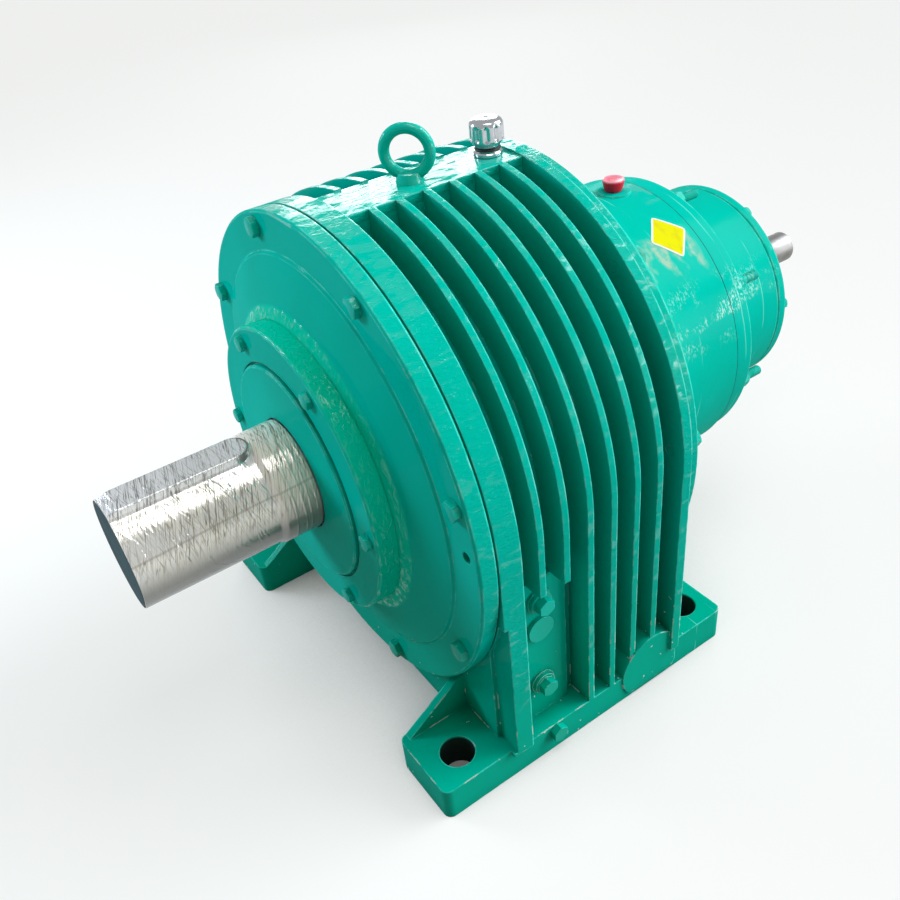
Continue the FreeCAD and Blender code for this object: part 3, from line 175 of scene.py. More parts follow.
BLACK = (0.012, 0.012, 0.012)
RED = (0.92, 0.012, 0.050)
RED_DARK = (0.82, 0.008, 0.030)
RED_TOP_SHEEN = (0.95, 0.32, 0.42)
YELLOW = (0.83, 0.77, 0.008)
YELLOW_WORN = (0.74, 0.63, 0.02)
LABEL_WHITE = (0.85, 0.87, 0.84)
JOINT_BLACK = (0.004, 0.012, 0.011)
FILM_COOL = (0.90, 0.91, 0.94)
FILM_WARM = (0.98, 0.94, 0.83)
FILM_JOURNAL = (1.0, 0.90, 0.80)
FILM_FOLD_SHADE = (0.15, 0.14, 0.12)
FILM_UNDERSIDE_SHADE = (0.25, 0.245, 0.24)
FILM_LAP = (0.42, 0.40, 0.34)
FLOOR_GREY = (0.36, 0.36, 0.355)
SKY_WARM = (1.0, 0.99, 0.80, 1.0)
SKY_PLAIN = (1.0, 1.0, 1.0, 1.0)


class Shader:
    """A material under construction, with short calls for the nodes it uses."""

    def __init__(self, name):
        self.material = bpy.data.materials.new(name)
        self.material.use_nodes = True
        self.tree = self.material.node_tree
        self.out = self.tree.nodes["Principled BSDF"]

    def node(self, kind, **settings):
        made = self.tree.nodes.new("ShaderNode" + kind)
        for key, value in settings.items():
            setattr(made, key, value)
        return made

    def feed(self, socket, value):
        if isinstance(value, bpy.types.NodeSocket):
            self.tree.links.new(value, socket)
        else:
            socket.default_value = value

    def set(self, **values):
        """Values of the surface shader, such as Base_Color or Roughness."""
        for key, value in values.items():
            socket = self.out.inputs[key.replace("_", " ")]
            self.feed(socket, (*value, 1.0) if isinstance(value, tuple) else value)

    def place(self):
        return self.node("TexCoord").outputs["Object"]

    def split(self, vector):
        made = self.node("SeparateXYZ")
        self.feed(made.inputs[0], vector)
        return made.outputs[0], made.outputs[1], made.outputs[2]

    def math(self, operation, first, second=0.0):
        made = self.node("Math", operation=operation)
        self.feed(made.inputs[0], first)
        self.feed(made.inputs[1], second)
        return made.outputs[0]

    def stretch(self, vector, scale):
        made = self.node("Mapping")
        self.feed(made.inputs["Vector"], vector)
        self.feed(made.inputs["Scale"], scale)
        return made.outputs[0]

    def shear(self, vector, share):
        """Coordinates slanted so that rings round the shaft turn into a shallow screw."""
        x, y, z = self.split(vector)
        made = self.node("CombineXYZ")
        self.feed(made.inputs[0], x)
        slant = self.math("MULTIPLY", self.math("SUBTRACT", x, z), share)
        self.feed(made.inputs[1], self.math("ADD", y, slant))
        self.feed(made.inputs[2], z)
        return made.outputs[0]

    def noise(self, vector, scale, detail=2.0, distortion=0.0):
        made = self.node("TexNoise")
        self.feed(made.inputs["Vector"], vector)
        self.feed(made.inputs["Scale"], scale)
        self.feed(made.inputs["Detail"], detail)
        self.feed(made.inputs["Distortion"], distortion)
        return made.outputs[0]

    def ramp(self, value, low, high, start=0.0, end=1.0):
        made = self.node("MapRange", interpolation_type="SMOOTHSTEP")
        for socket, number in zip(made.inputs, (value, low, high, start, end)):
            self.feed(socket, number)
        return made.outputs[0]

    def mix(self, factor, first, second):
        made = self.node("Mix", data_type="RGBA")
        self.feed(made.inputs[0], factor)
        self.feed(made.inputs[6], (*first, 1.0) if isinstance(first, tuple) else first)
        self.feed(made.inputs[7], (*second, 1.0) if isinstance(second, tuple) else second)
        return made.outputs[2]

    def bump(self, height, strength, distance, normal=None):
        made = self.node("Bump")
        self.feed(made.inputs["Strength"], strength)
        self.feed(made.inputs["Distance"], distance)
        self.feed(made.inputs["Height"], height)
        if normal is not None:
            self.feed(made.inputs["Normal"], normal)
        return made.outputs[0]

    def bevel(self, radius):
        made = self.node("Bevel", samples=4)
        self.feed(made.inputs["Radius"], radius)
        return made.outputs[0]

    def edge(self, bevelled):
        """One near the sharp edges that a bevel rounds, nought on the flats."""
        made = self.node("VectorMath", operation="DOT_PRODUCT")
        self.feed(made.inputs[0], bevelled)
        self.feed(made.inputs[1], self.node("NewGeometry").outputs["Normal"])
        return self.ramp(made.outputs["Value"], 0.995, 0.90)

    def hollow(self, reach):
        """One deep in gaps and corners, nought on open faces."""
        made = self.node("AmbientOcclusion", samples=6)
        self.feed(made.inputs["Distance"], reach)
        return self.ramp(made.outputs["AO"], 0.80, 0.20)

    def polar(self, place):
        """Distance from the shaft axis and angle round it, nought at the top."""
        x, _, z = self.split(place)
        lift = self.math("SUBTRACT", z, AXIS_Z)
        flat = self.node("CombineXYZ")
        self.feed(flat.inputs[0], x)
        self.feed(flat.inputs[2], lift)
        length = self.node("VectorMath", operation="LENGTH")
        self.feed(length.inputs[0], flat.outputs[0])
        return length.outputs["Value"], self.math("ARCTAN2", x, lift)

    def outline(self, place):
        """Distance from the axis above it, and from the middle plane below it."""
        x, _, z = self.split(place)
        lift = self.math("MAXIMUM", self.math("SUBTRACT", z, AXIS_Z), 0.0)
        made = self.node("CombineXYZ")
        self.feed(made.inputs[0], x)
        self.feed(made.inputs[2], lift)
        length = self.node("VectorMath", operation="LENGTH")
        self.feed(length.inputs[0], made.outputs[0])
        return length.outputs["Value"]

    def band(self, value, start, end, soft):
        """One between two values, nought outside, with soft ends."""
        return self.math("MULTIPLY", self.ramp(value, start - soft, start), self.ramp(value, end + soft, end))


def enamel(name, bevel, gloss):
    """Thick gloss enamel: brush ridges on the rims, orange peel, pale edges that are partly painted
    highlight, chips, flecks and glints that are painted highlight, painted shade in gaps and low down,
    painted light on the cap's side, and scuffs.
    """
    s = Shader(name)
    place = s.place()
    x, y, z = s.split(place)
    radius, turn = s.polar(place)
    lie = s.math("ABSOLUTE", s.split(s.node("NewGeometry").outputs["Normal"])[1])
    rim = s.math("MULTIPLY", s.ramp(s.outline(place), RIM_START, RIM_FULL), s.ramp(z, 0.07, 0.12))
    rim = s.math("MULTIPLY", rim, s.ramp(lie, 0.6, 0.4))
    ridge = s.band(z, RIDGE_TOP - 0.0010, RIDGE_TOP + 0.0003, 0.001)
    crown = s.math("MAXIMUM", ridge, ring_crown(s, y, turn))
    slope = s.math("MULTIPLY", s.band(radius, CAP_RADIUS, CAP_RADIUS + 0.010, 0.003),
                   s.ramp(y, -0.115, -0.120))
    bevelled = s.bevel(bevel)
    edge = s.edge(bevelled)
    brush = s.noise(s.stretch(place, (1.0, 0.30, 1.0)), 300.0, 3.0, 1.2)
    peel = s.noise(place, 620.0, 2.0)
    wrinkle = s.noise(s.stretch(place, (1.0, 1.0, 0.45)), 190.0, 3.0, 1.2)
    height = s.math("MULTIPLY", s.noise(place, 30.0, 2.0), 1.2)
    height = s.math("ADD", height, s.math("MULTIPLY", s.math("MULTIPLY", brush, rim), 1.0))
    height = s.math("ADD", height, s.math("MULTIPLY", peel, s.ramp(y, REAR_START, REAR_FULL, 0.03, 0.30)))
    height = s.math("ADD", height, s.math("MULTIPLY", s.math("MULTIPLY", wrinkle, slope), 1.6))
    hollow = s.hollow(GAP_SHADE_REACH)
    corner = s.math("MULTIPLY", edge, s.ramp(hollow, 0.40, 0.12))
    tint = paint_tint(s, place, z, edge, corner, hollow, rim, brush)
    # Painted light: the cap's side wall and fillet are turned brighter green, as if lit from the right.
    tint = s.mix(s.math("MULTIPLY", slope, 0.7), tint, GREEN_SLOPE_LIGHT)
    tint = s.mix(paint_lines(s, place, y, radius, lie), tint, GREEN_PALE)
    tint = s.mix(scuffed(s, place, y, turn), tint, SCUFF)
    glints = rear_flecks(s, place, y, turn)
    # Painted highlight: where the peel glints, the colour itself also turns pale towards GLINT.
    tint = s.mix(s.math("MULTIPLY", glints, 0.50), tint, GLINT)
    tint = s.mix(joint_line(s, y, radius), tint, JOINT_BLACK)
    # Painted shade: the walls of the foot bolt holes are darkened nearly to black green.
    tint = s.mix(hole_walls(s, x, y, z), tint, HOLE_SHADE)
    s.set(Base_Color=tint, Specular_IOR_Level=0.0)
    patchy = s.noise(s.stretch(place, (1.0, 0.6, 1.0)), 32.0, 6.0)
    dabs = s.noise(s.stretch(place, (1.0, 0.4, 1.0)), 120.0, 4.0, 0.8)
    dabs = s.math("ADD", dabs, s.ramp(z, 0.425, 0.470, 0.0, 0.13))
    shine = s.math("MAXIMUM", s.math("MULTIPLY", crown, s.ramp(patchy, 0.50, 0.54)),
                   s.math("MULTIPLY", rim, s.ramp(dabs, 0.54, 0.66, 0.0, 0.80)))
    shine = s.math("MAXIMUM", shine, s.math("MULTIPLY", slope, s.ramp(wrinkle, 0.50, 0.60, 0.05, 0.8)))
    shine = s.math("MAXIMUM", shine, glints)
    s.set(Coat_Weight=s.math("MAXIMUM", shine, gloss))
    s.set(Coat_IOR=1.5, Coat_Roughness=0.05)
    s.set(Roughness=s.ramp(s.noise(place, 60.0, 3.0), 0.30, 0.75, 0.18, 0.34))
    s.set(Normal=s.bump(height, 0.55, 0.0010, bevelled))
    s.tree.links.new(s.out.inputs["Normal"].links[0].from_socket, s.out.inputs["Coat Normal"])
    return s.material


def ring_crown(s, y, turn):
    """Top of the second-stage ring by the joint, where it mirrors the window."""
    return s.math("MULTIPLY", s.band(turn, 0.0, 0.24, 0.05), s.band(y, 0.234, 0.251, 0.003))


def rear_flecks(s, place, y, turn):
    """Glints of the orange peel on the shoulders of the rear rings, in broken patches."""
    zone = s.band(s.math("ABSOLUTE", turn), 0.98, 1.24, 0.14)
    zone = s.math("MULTIPLY", zone, s.ramp(y, REAR_START, REAR_FULL))
    patches = s.ramp(s.noise(s.stretch(place, (1.0, 0.6, 1.0)), 40.0, 6.0), 0.46, 0.60)
    specks = s.ramp(s.noise(s.stretch(place, (0.45, 1.0, 0.45)), 560.0, 3.0, 0.8), 0.50, 0.64)
    return s.math("MULTIPLY", s.math("MULTIPLY", zone, patches), specks)


def paint_lines(s, place, y, radius, lie):
    """Fine broken pale lines left by the brush round the rear rings."""
    wobble = s.math("MULTIPLY", s.math("SUBTRACT", s.noise(place, 14.0, 2.0), 0.5), 0.006)
    along = s.math("ADD", y, wobble)
    line = 0.0
    for station in PAINT_LINES:
        line = s.math("MAXIMUM", line, s.band(along, station, station + 0.0002, 0.0007))
    broken = s.ramp(s.noise(place, 16.0, 3.0), 0.44, 0.58, 0.0, 0.55)
    zone = s.math("MULTIPLY", s.ramp(lie, 0.5, 0.3), s.ramp(radius, 0.1090, 0.1100))
    return s.math("MULTIPLY", s.math("MULTIPLY", line, broken), zone)


def paint_tint(s, place, z, edge, corner, hollow, rim, brush):
    """Green with soft shifts, painted shade in the gaps and low down, painted highlight flecks on the rims,
    pale edges that are partly painted highlight, and white chips, most on the feet, whose weaker share higher
    up is painted highlight.
    """
    tint = s.mix(s.ramp(s.noise(place, 7.0, 2.0), 0.30, 0.70), GREEN_DARK, GREEN)
    tint = s.mix(s.math("MULTIPLY", rim, 0.55), tint, GREEN_DEEP)
    # Painted shade: the green darkens towards the bottom, most of all below 0.05 m.
    tint = s.mix(s.ramp(z, 0.20, 0.05, 0.0, 0.75), tint, GREEN_LOW_SHADE)
    # Painted shade: deep in gaps and corners, found by ambient occlusion, the paint is darkened towards a
    # shaded green.
    tint = s.mix(s.math("MULTIPLY", hollow, 0.56), tint, GAP_SHADE)
    # Painted highlight: pale specks on the rims stand for sparkles of light on the brushed paint.
    speckle = s.ramp(s.noise(place, 640.0, 2.0), 0.54, 0.64)
    painted_rim_sparkle = s.math("MULTIPLY", s.math("MULTIPLY", speckle, rim), s.ramp(brush, 0.54, 0.70, 0.0, 0.20))
    tint = s.mix(painted_rim_sparkle, tint, GREEN_PALE)
    # Pale edge lines away from the corners, partly thin paint worn on the edges and partly painted highlight
    # along them.
    worn_and_highlight = s.math("MULTIPLY", corner, s.ramp(s.noise(place, 55.0, 3.0), 0.34, 0.62, 0.12, 0.9))
    tint = s.mix(worn_and_highlight, tint, EDGE_PALE)
    low = s.ramp(z, CHIPS_START, CHIPS_FULL)
    broken = s.ramp(s.noise(place, 60.0, 8.0), 0.55, 0.59)
    # White chips are wear, most on the feet; their weaker share on edges higher up is painted highlight
    # standing for bright glints.
    chips_and_glints = s.math("MULTIPLY", s.ramp(edge, 0.35, 0.75), broken)
    chips_and_glints = s.math("MULTIPLY", chips_and_glints, s.ramp(low, 0.0, 1.0, 0.22, 1.0))
    spots = s.math("MULTIPLY", s.ramp(s.noise(place, 210.0, 1.0), 0.765, 0.785), low)
    return s.mix(s.math("MAXIMUM", chips_and_glints, spots), tint, CHIP_WHITE)


def scuffed(s, place, y, turn):
    """Beige rub marks on the upper side of the second-stage ring, streaked round it."""
    zone = s.math("MULTIPLY", s.band(turn, 0.56, 0.80, 0.07), s.band(y, 0.125, 0.236, 0.012))
    patches = s.ramp(s.noise(s.stretch(place, (0.5, 1.0, 0.5)), 60.0, 3.0), 0.46, 0.62)
    grain = s.ramp(s.noise(place, 150.0, 5.0), 0.36, 0.60, 0.25, 0.70)
    return s.math("MULTIPLY", s.math("MULTIPLY", zone, patches), grain)


def joint_line(s, y, radius):
    """Dark line of the joint behind the second-stage ring."""
    gap = s.math("ABSOLUTE", s.math("SUBTRACT", y, MIDDLE_JOINT))
    return s.math("MULTIPLY", s.ramp(gap, 0.0026, 0.0018), s.ramp(radius, 0.143, 0.145))


def hole_walls(s, x, y, z):
    """Painted shade on the walls of the four bolt holes in the feet."""
    flat = s.node("CombineXYZ")
    s.feed(flat.inputs[0], s.math("SUBTRACT", s.math("ABSOLUTE", x), FOOT_HOLE_X))
    s.feed(flat.inputs[1], s.math("SUBTRACT", s.math("ABSOLUTE", y), FOOT_HOLE_Y))
    length = s.node("VectorMath", operation="LENGTH")
    s.feed(length.inputs[0], flat.outputs[0])
    inside = s.ramp(length.outputs["Value"], FOOT_HOLE_RADIUS + 0.0007, FOOT_HOLE_RADIUS + 0.0003)
    return s.math("MULTIPLY", inside, s.ramp(z, FOOT_TOP - 0.0008, FOOT_TOP - 0.0030))


def turned_steel(name, light, dark, roughness, rings, dull_end=False):
    """Machined steel with fine rings round the shaft axis, cloudy handling marks and perhaps a dull end."""
    s = Shader(name)
    place = s.place()
    marks = s.noise(s.stretch(place, (0.04, 1.0, 0.04)), rings, 2.0)
    cloud = s.noise(place, 45.0, 4.0)
    tint = s.mix(s.ramp(cloud, 0.35, 0.70), light, dark)
    metal = 1.0
    if dull_end:
        end = s.ramp(s.split(place)[1], SHAFT_END + 0.0006, SHAFT_END + 0.0002)
        tint = s.mix(end, tint, s.mix(cloud, END_DARK, END_PALE))
        metal = s.ramp(end, 0.0, 1.0, 1.0, 0.0)
        s.set(Specular_IOR_Level=0.0)
    s.set(Base_Color=tint, Metallic=metal, Anisotropic=0.35)
    s.set(Roughness=s.ramp(s.math("ADD", marks, s.math("MULTIPLY", cloud, 0.4)), 0.4, 1.0,
                           roughness, roughness + 0.18))
    s.set(Normal=s.bump(marks, 0.25, 0.00015, s.bevel(0.0006)))
    return s.material


def chrome():
    """Bright plating with faint clouding."""
    s = Shader("breather_plating")
    cloud = s.noise(s.place(), 160.0, 3.0)
    s.set(Base_Color=s.mix(s.ramp(cloud, 0.3, 0.8), CHROME, (0.50, 0.53, 0.56)), Metallic=1.0)
    s.set(Roughness=s.ramp(cloud, 0.3, 0.8, 0.14, 0.24))
    return s.material


def bronze():
    """Sintered bronze with pores."""
    s = Shader("bush_bronze")
    grain = s.noise(s.place(), 900.0, 3.0)
    s.set(Base_Color=s.mix(s.ramp(grain, 0.4, 0.7), BRONZE_DARK, BRONZE), Metallic=1.0)
    s.set(Roughness=s.ramp(grain, 0.3, 0.7, 0.45, 0.28), Normal=s.bump(grain, 0.2, 0.0001))
    return s.material


def rubber():
    """Moulded seal rubber with a dusty bloom."""
    s = Shader("seal_rubber")
    bloom = s.noise(s.place(), 120.0, 4.0)
    s.set(Base_Color=s.mix(s.ramp(bloom, 0.5, 0.8), BLACK, (0.05, 0.05, 0.05)), Roughness=0.6)
    s.set(Normal=s.bump(s.noise(s.place(), 1500.0), 0.15, 0.0001))
    return s.material


def red_plastic():
    """Moulded red plastic, with a painted pale sheen on top."""
    s = Shader("vent_red")
    place = s.place()
    cloud = s.noise(place, 130.0, 3.0)
    # Painted reflection: the top turns pink, as if it mirrored the bright window.
    fade = s.ramp(s.split(place)[2], VENT_SEAT + VENT_HEIGHT - 0.002, VENT_SEAT + VENT_HEIGHT, 0.0, 1.0)
    tint = s.mix(s.ramp(cloud, 0.35, 0.7), RED_DARK, RED)
    s.set(Base_Color=s.mix(fade, tint, RED_TOP_SHEEN))
    s.set(Subsurface_Weight=0.2, Subsurface_Scale=0.01, Specular_IOR_Level=0.25)
    s.set(Roughness=s.ramp(cloud, 0.3, 0.8, 0.25, 0.40), Normal=s.bump(cloud, 0.1, 0.0002))
    return s.material


def label_stock():
    """Yellow label with a pale border; the patch's own coordinates run from -1 to 1."""
    s = Shader("label_yellow")
    u, v, _ = s.split(s.node("UVMap").outputs[0])
    spread = s.math("ADD", s.math("ABSOLUTE", u), s.math("ABSOLUTE", v))
    border = s.ramp(spread, 0.880, 0.900)
    scuff = s.ramp(s.noise(s.stretch(s.place(), (0.3, 1.0, 1.0)), 120.0, 4.0), 0.45, 0.75)
    tint = s.mix(scuff, YELLOW, YELLOW_WORN)
    s.set(Base_Color=s.mix(border, tint, LABEL_WHITE), Roughness=s.ramp(scuff, 0.0, 1.0, 0.40, 0.6))
    s.set(Specular_IOR_Level=0.0)
    s.set(Normal=s.bump(s.noise(s.place(), 150.0, 3.0), 0.2, 0.0003))
    return s.material


def film_stock():
    """Clear film drawn tight over bright steel: creased above, with painted shade and partly painted
    highlight along the creases, plainer and greyer below, the grey being painted shade.
    """
    s = Shader("film_on_steel")
    place = s.place()
    y = s.split(place)[1]
    turn = s.polar(place)[1]
    streak = s.noise(s.stretch(s.shear(place, 0.26), (0.05, 1.0, 0.05)), 420.0, 2.0, 0.35)
    cross = s.noise(s.stretch(s.shear(place, -0.12), (0.06, 1.0, 0.06)), 360.0, 2.0, 0.35)
    cloud = s.noise(s.stretch(place, (1.0, 0.4, 1.0)), 36.0, 3.0)
    upper = s.band(turn, -0.30, 1.30, 0.40)
    gathered = s.math("MULTIPLY", upper, s.ramp(cloud, 0.36, 0.56, 0.35, 1.0))
    warm = s.math("MULTIPLY", s.band(turn, 0.55, 1.90, 0.30), s.ramp(cloud, 0.35, 0.60, 0.45, 1.0))
    tint = s.mix(warm, FILM_COOL, FILM_WARM)
    tint = s.mix(s.ramp(y, -0.205, -0.195), tint, FILM_JOURNAL)
    dark_line = s.ramp(s.math("ABSOLUTE", s.math("SUBTRACT", streak, 0.46)), 0.040, 0.006)
    dark_cross = s.ramp(s.math("ABSOLUTE", s.math("SUBTRACT", cross, 0.44)), 0.034, 0.006)
    pale_and_highlight_line = s.ramp(s.math("ABSOLUTE", s.math("SUBTRACT", streak, 0.55)), 0.034, 0.006)
    dark = s.math("MAXIMUM", dark_line, s.math("MULTIPLY", dark_cross, 0.7))
    # Painted shade: dark lines along the creases in the upper film.
    tint = s.mix(s.math("MULTIPLY", dark, s.ramp(gathered, 0, 1, 0.22, 0.80)), tint, FILM_FOLD_SHADE)
    # Pale lines along the creases, partly whitened film and partly painted highlight.
    tint = s.mix(s.math("MULTIPLY", pale_and_highlight_line, gathered), tint, (1.0, 1.0, 1.0))
    # Painted shade: the lower half of the film turns grey towards the underside.
    tint = s.mix(s.ramp(turn, 1.10, 1.90, 0.0, 0.88), tint, FILM_UNDERSIDE_SHADE)
    lap = s.math("ADD", s.math("ADD", turn, s.math("MULTIPLY", y, 0.7)), s.math("MULTIPLY", cloud, 0.06))
    tint = s.mix(s.math("MULTIPLY", s.band(lap, 1.000, 1.020, 0.020), 0.45), tint, FILM_LAP)
    s.set(Base_Color=tint, Metallic=s.ramp(y, -0.210, -0.192, 0.58, 0.25))
    s.set(Roughness=s.ramp(cloud, 0.30, 0.70, 0.15, 0.26))
    s.set(Normal=s.bump(streak, s.ramp(upper, 0, 1, 0.10, 0.60), 0.0006))
    return s.material


def smooth(mesh):
    """Smooth shading all over, kept sharp at real edges."""
    for polygon in mesh.polygons:
        polygon.use_smooth = True
    mesh.set_sharp_from_angle(angle=math.radians(32.0))


def piece(name, work, material, body):
    """A finished object from a bmesh, riding on a body."""
    mesh = bpy.data.meshes.new(name)
    bmesh.ops.recalc_face_normals(work, faces=work.faces)
    work.to_mesh(mesh)
    work.free()
    mesh.materials.append(material)
    smooth(mesh)
    made = bpy.data.objects.new(name, mesh)
    bpy.context.scene.collection.objects.link(made)
    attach(made, body)
    return made


def rows_to_faces(work, rows, closed=True):
    """Quads between neighbouring rows of points."""
    for low, high in zip(rows, rows[1:]):
        count = len(low)
        for i in range(count if closed else count - 1):
            j = (i + 1) % count
            work.faces.new((low[i], low[j], high[j], high[i]))


def lathe(work, profile, steps, place, shape=None):
    """Solid of revolution about an upright line from (radius, height) points, capped at both ends."""
    rows = []
    for radius, height in profile:
        row = []
        for i in range(steps):
            turn = 2.0 * math.pi * i / steps
            wide = radius * (shape(turn, height) if shape else 1.0)
            row.append(work.verts.new(place + Vector((wide * math.cos(turn), wide * math.sin(turn), height))))
        rows.append(row)
    rows_to_faces(work, rows)
    work.faces.new(rows[0])
    work.faces.new(rows[-1])


def fluted_breather_cap():
    """Plated cap with upright flutes, a bevelled crown and a shallow dimple on top."""
    def grooves(turn, height):
        inside = min(1.0, max(0.0, min(height - FLUTE_BOTTOM, FLUTE_TOP - height) / FLUTE_FADE))
        wave = 0.5 + 0.5 * math.cos(FLUTES * turn)
        return 1.0 - FLUTE_DEPTH * inside * wave ** 2

    work = bmesh.new()
    r = BREATHER_CAP_RADIUS
    profile = [(0.0090, 0.0), (0.0112, 0.0004), (0.0120, 0.0018), (0.0138, 0.0040), (r - 0.0002, 0.0052)]
    profile += [(r, 0.0060 + 0.0009 * i) for i in range(15)]
    profile += [(r - 0.0003, 0.0200), (r - 0.0012, 0.0216), (r - 0.0022, 0.0226), (0.0112, 0.0232)]
    profile += [(0.0106, 0.0236), (0.0096, 0.0239), (0.0040, BREATHER_CAP_HEIGHT), (0.0034, 0.0236)]
    profile += [(0.0012, 0.0235)]
    lathe(work, profile, FLUTES * 18, Vector((0.0, BREATHER_Y, BREATHER_CAP_BOTTOM)), grooves)
    made = piece("fluted_breather_cap", work, MATERIALS["chrome"], "casing")
    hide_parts("breather_cap")


def breather_foot():
    """Plated collar with an O-ring groove between the ridge and the cap."""
    work = bmesh.new()
    place = Vector((0.0, BREATHER_Y, RIDGE_TOP))
    profile = [(0.0060, -0.020), (0.0060, 0.0), (0.0118, 0.0), (0.0126, 0.0006), (0.0126, 0.0030),
               (0.0118, 0.0040), (0.0108, 0.0046), (0.0108, 0.0050), (0.0096, 0.0052), (0.0096, 0.0080)]
    lathe(work, profile, 72, place)
    made = piece("breather_foot", work, MATERIALS["chrome"], "casing")
    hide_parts("breather_body")
    ring = bmesh.new()
    turns = [2.0 * math.pi * k / 10 for k in range(10)]
    circle = [(0.0104 + 0.0013 * math.cos(t), 0.0064 + 0.0013 * math.sin(t)) for t in turns]
    rows = []
    for radius, height in circle + circle[:1]:
        spin = [2.0 * math.pi * i / 72 for i in range(72)]
        rows.append([ring.verts.new(place + Vector((radius * math.cos(a), radius * math.sin(a), height)))
                     for a in spin])
    rows_to_faces(ring, rows)
    bmesh.ops.remove_doubles(ring, verts=ring.verts, dist=1e-6)
    piece("breather_o_ring", ring, MATERIALS["rubber"], "casing")


def dished_vent_plug():
    """Cup-shaped red plug with a rolled rim and a dished top."""
    work = bmesh.new()
    h = VENT_HEIGHT
    r = VENT_RADIUS
    profile = [(0.0070, -0.016), (0.0070, 0.0), (0.0078, 0.0), (0.0084, 0.0005), (0.0088, 0.0015),
               (0.0098, 0.0045), (0.0106, 0.0078), (r, 0.0098), (r, 0.0108), (r - 0.0004, h - 0.0003),
               (r - 0.0011, h), (r - 0.0018, h - 0.0002), (r - 0.0030, h - 0.0006), (0.0050, h - 0.0010),
               (0.0018, h - 0.0011)]
    lathe(work, profile, 72, Vector((0.0, VENT_Y, VENT_SEAT)))
    made = piece("dished_vent_plug", work, MATERIALS["red"], "casing")
    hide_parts("vent_plug")


def hex_bolt(work, thread, flats, head, matrix, length, stud_end):
    """One hex bolt with a chamfered head and a washer face, or a nut on a threaded stud end, along +Z."""
    corner = flats / math.sqrt(3.0)
    levels = ((1.0, WASHER_FACE), (1.0, head * 0.80), (0.90, head * 0.95), (0.80, head))

    def ring(radius, height, six):
        points = []
        for i in range(48):
            turn = 2.0 * math.pi * i / 48
            wide = radius
            if six:
                sector = (turn + math.pi / 6.0) % (math.pi / 3.0) - math.pi / 6.0
                wide = min(radius * 1.02, corner * math.cos(math.pi / 6.0) / math.cos(sector))
            spot = Vector((wide * math.cos(turn), wide * math.sin(turn), height))
            points.append(work.verts.new(matrix @ spot))
        return points

    rows = [ring(thread, -length, False), ring(thread, 0.0, False), ring(corner * 0.93, 0.0, False),
            ring(corner * 0.93, WASHER_FACE, False)]
    rows += [ring(corner * share, height, True) for share, height in levels]
    if stud_end:
        turns = int(stud_end / THREAD_PITCH)
        rows.append(ring(thread, head, False))
        for k in range(1, turns * 2):
            rows.append(ring(thread - THREAD_DEPTH * (k % 2), head + stud_end * k / (turns * 2.0), False))
        rows.append(ring(thread - 0.0008, head + stud_end, False))
    rows_to_faces(work, rows)
    work.faces.new(rows[0])
    work.faces.new(rows[-1])


def bolt_rings():
    """All the outside hex bolts, turned a little differently each, as fitters leave them."""
    for node, thread, flats, head, circle, count, first, seat, tip in BOLT_RINGS:
        work = bmesh.new()
        outward = Vector((0.0, -1.0 if tip > seat else 1.0, 0.0))
        lie = outward.to_track_quat("Z", "Y").to_matrix().to_4x4()
        for i in range(count):
            turn = math.radians(first + 360.0 * i / count)
            place = Vector((circle * math.sin(turn), seat, AXIS_Z + circle * math.cos(turn)))
            spin = Matrix.Rotation(math.radians(37.0 * i + 11.0), 4, "Z")
            stud_end = STUD_END if node == "middle_clamp_bolts" else 0.0
            stand = Matrix.Translation(place) @ lie @ spin
            hex_bolt(work, thread, flats, head, stand, abs(tip - seat), stud_end)
        made = piece("chamfered_" + node, work, MATERIALS["fine_enamel"], "casing")
        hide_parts(node)


def diamond_label():
    """Bare yellow diamond label lying on the second-stage ring."""
    steps = LABEL_STEPS
    lift = MIDDLE_RADIUS + LABEL_LIFT
    work = bmesh.new()
    layer = work.loops.layers.uv.new("UVMap")
    spot = {}
    for i in range(steps + 1):
        for j in range(steps + 1):
            a, b = 2.0 * i / steps - 1.0, 2.0 * j / steps - 1.0
            u, v = (a + b) / 2.0, (a - b) / 2.0
            corner = max(0.0, max(abs(u), abs(v)) - 0.9) * 0.55
            u -= math.copysign(corner, u) * (abs(u) > 0.9)
            v -= math.copysign(corner, v) * (abs(v) > 0.9)
            turn = LABEL_TURN + u * LABEL_HALF_ARC / MIDDLE_RADIUS
            y = LABEL_Y + v * LABEL_HALF_WIDE
            vert = work.verts.new((lift * math.sin(turn), y, AXIS_Z + lift * math.cos(turn)))
            spot[i, j] = (vert, (u, v))
    for i in range(steps):
        for j in range(steps):
            corners = [spot[i, j], spot[i + 1, j], spot[i + 1, j + 1], spot[i, j + 1]]
            face = work.faces.new([c[0] for c in corners])
            for loop, c in zip(face.loops, corners):
                loop[layer].uv = c[1]
    piece("diamond_label", work, MATERIALS["label"], "casing")


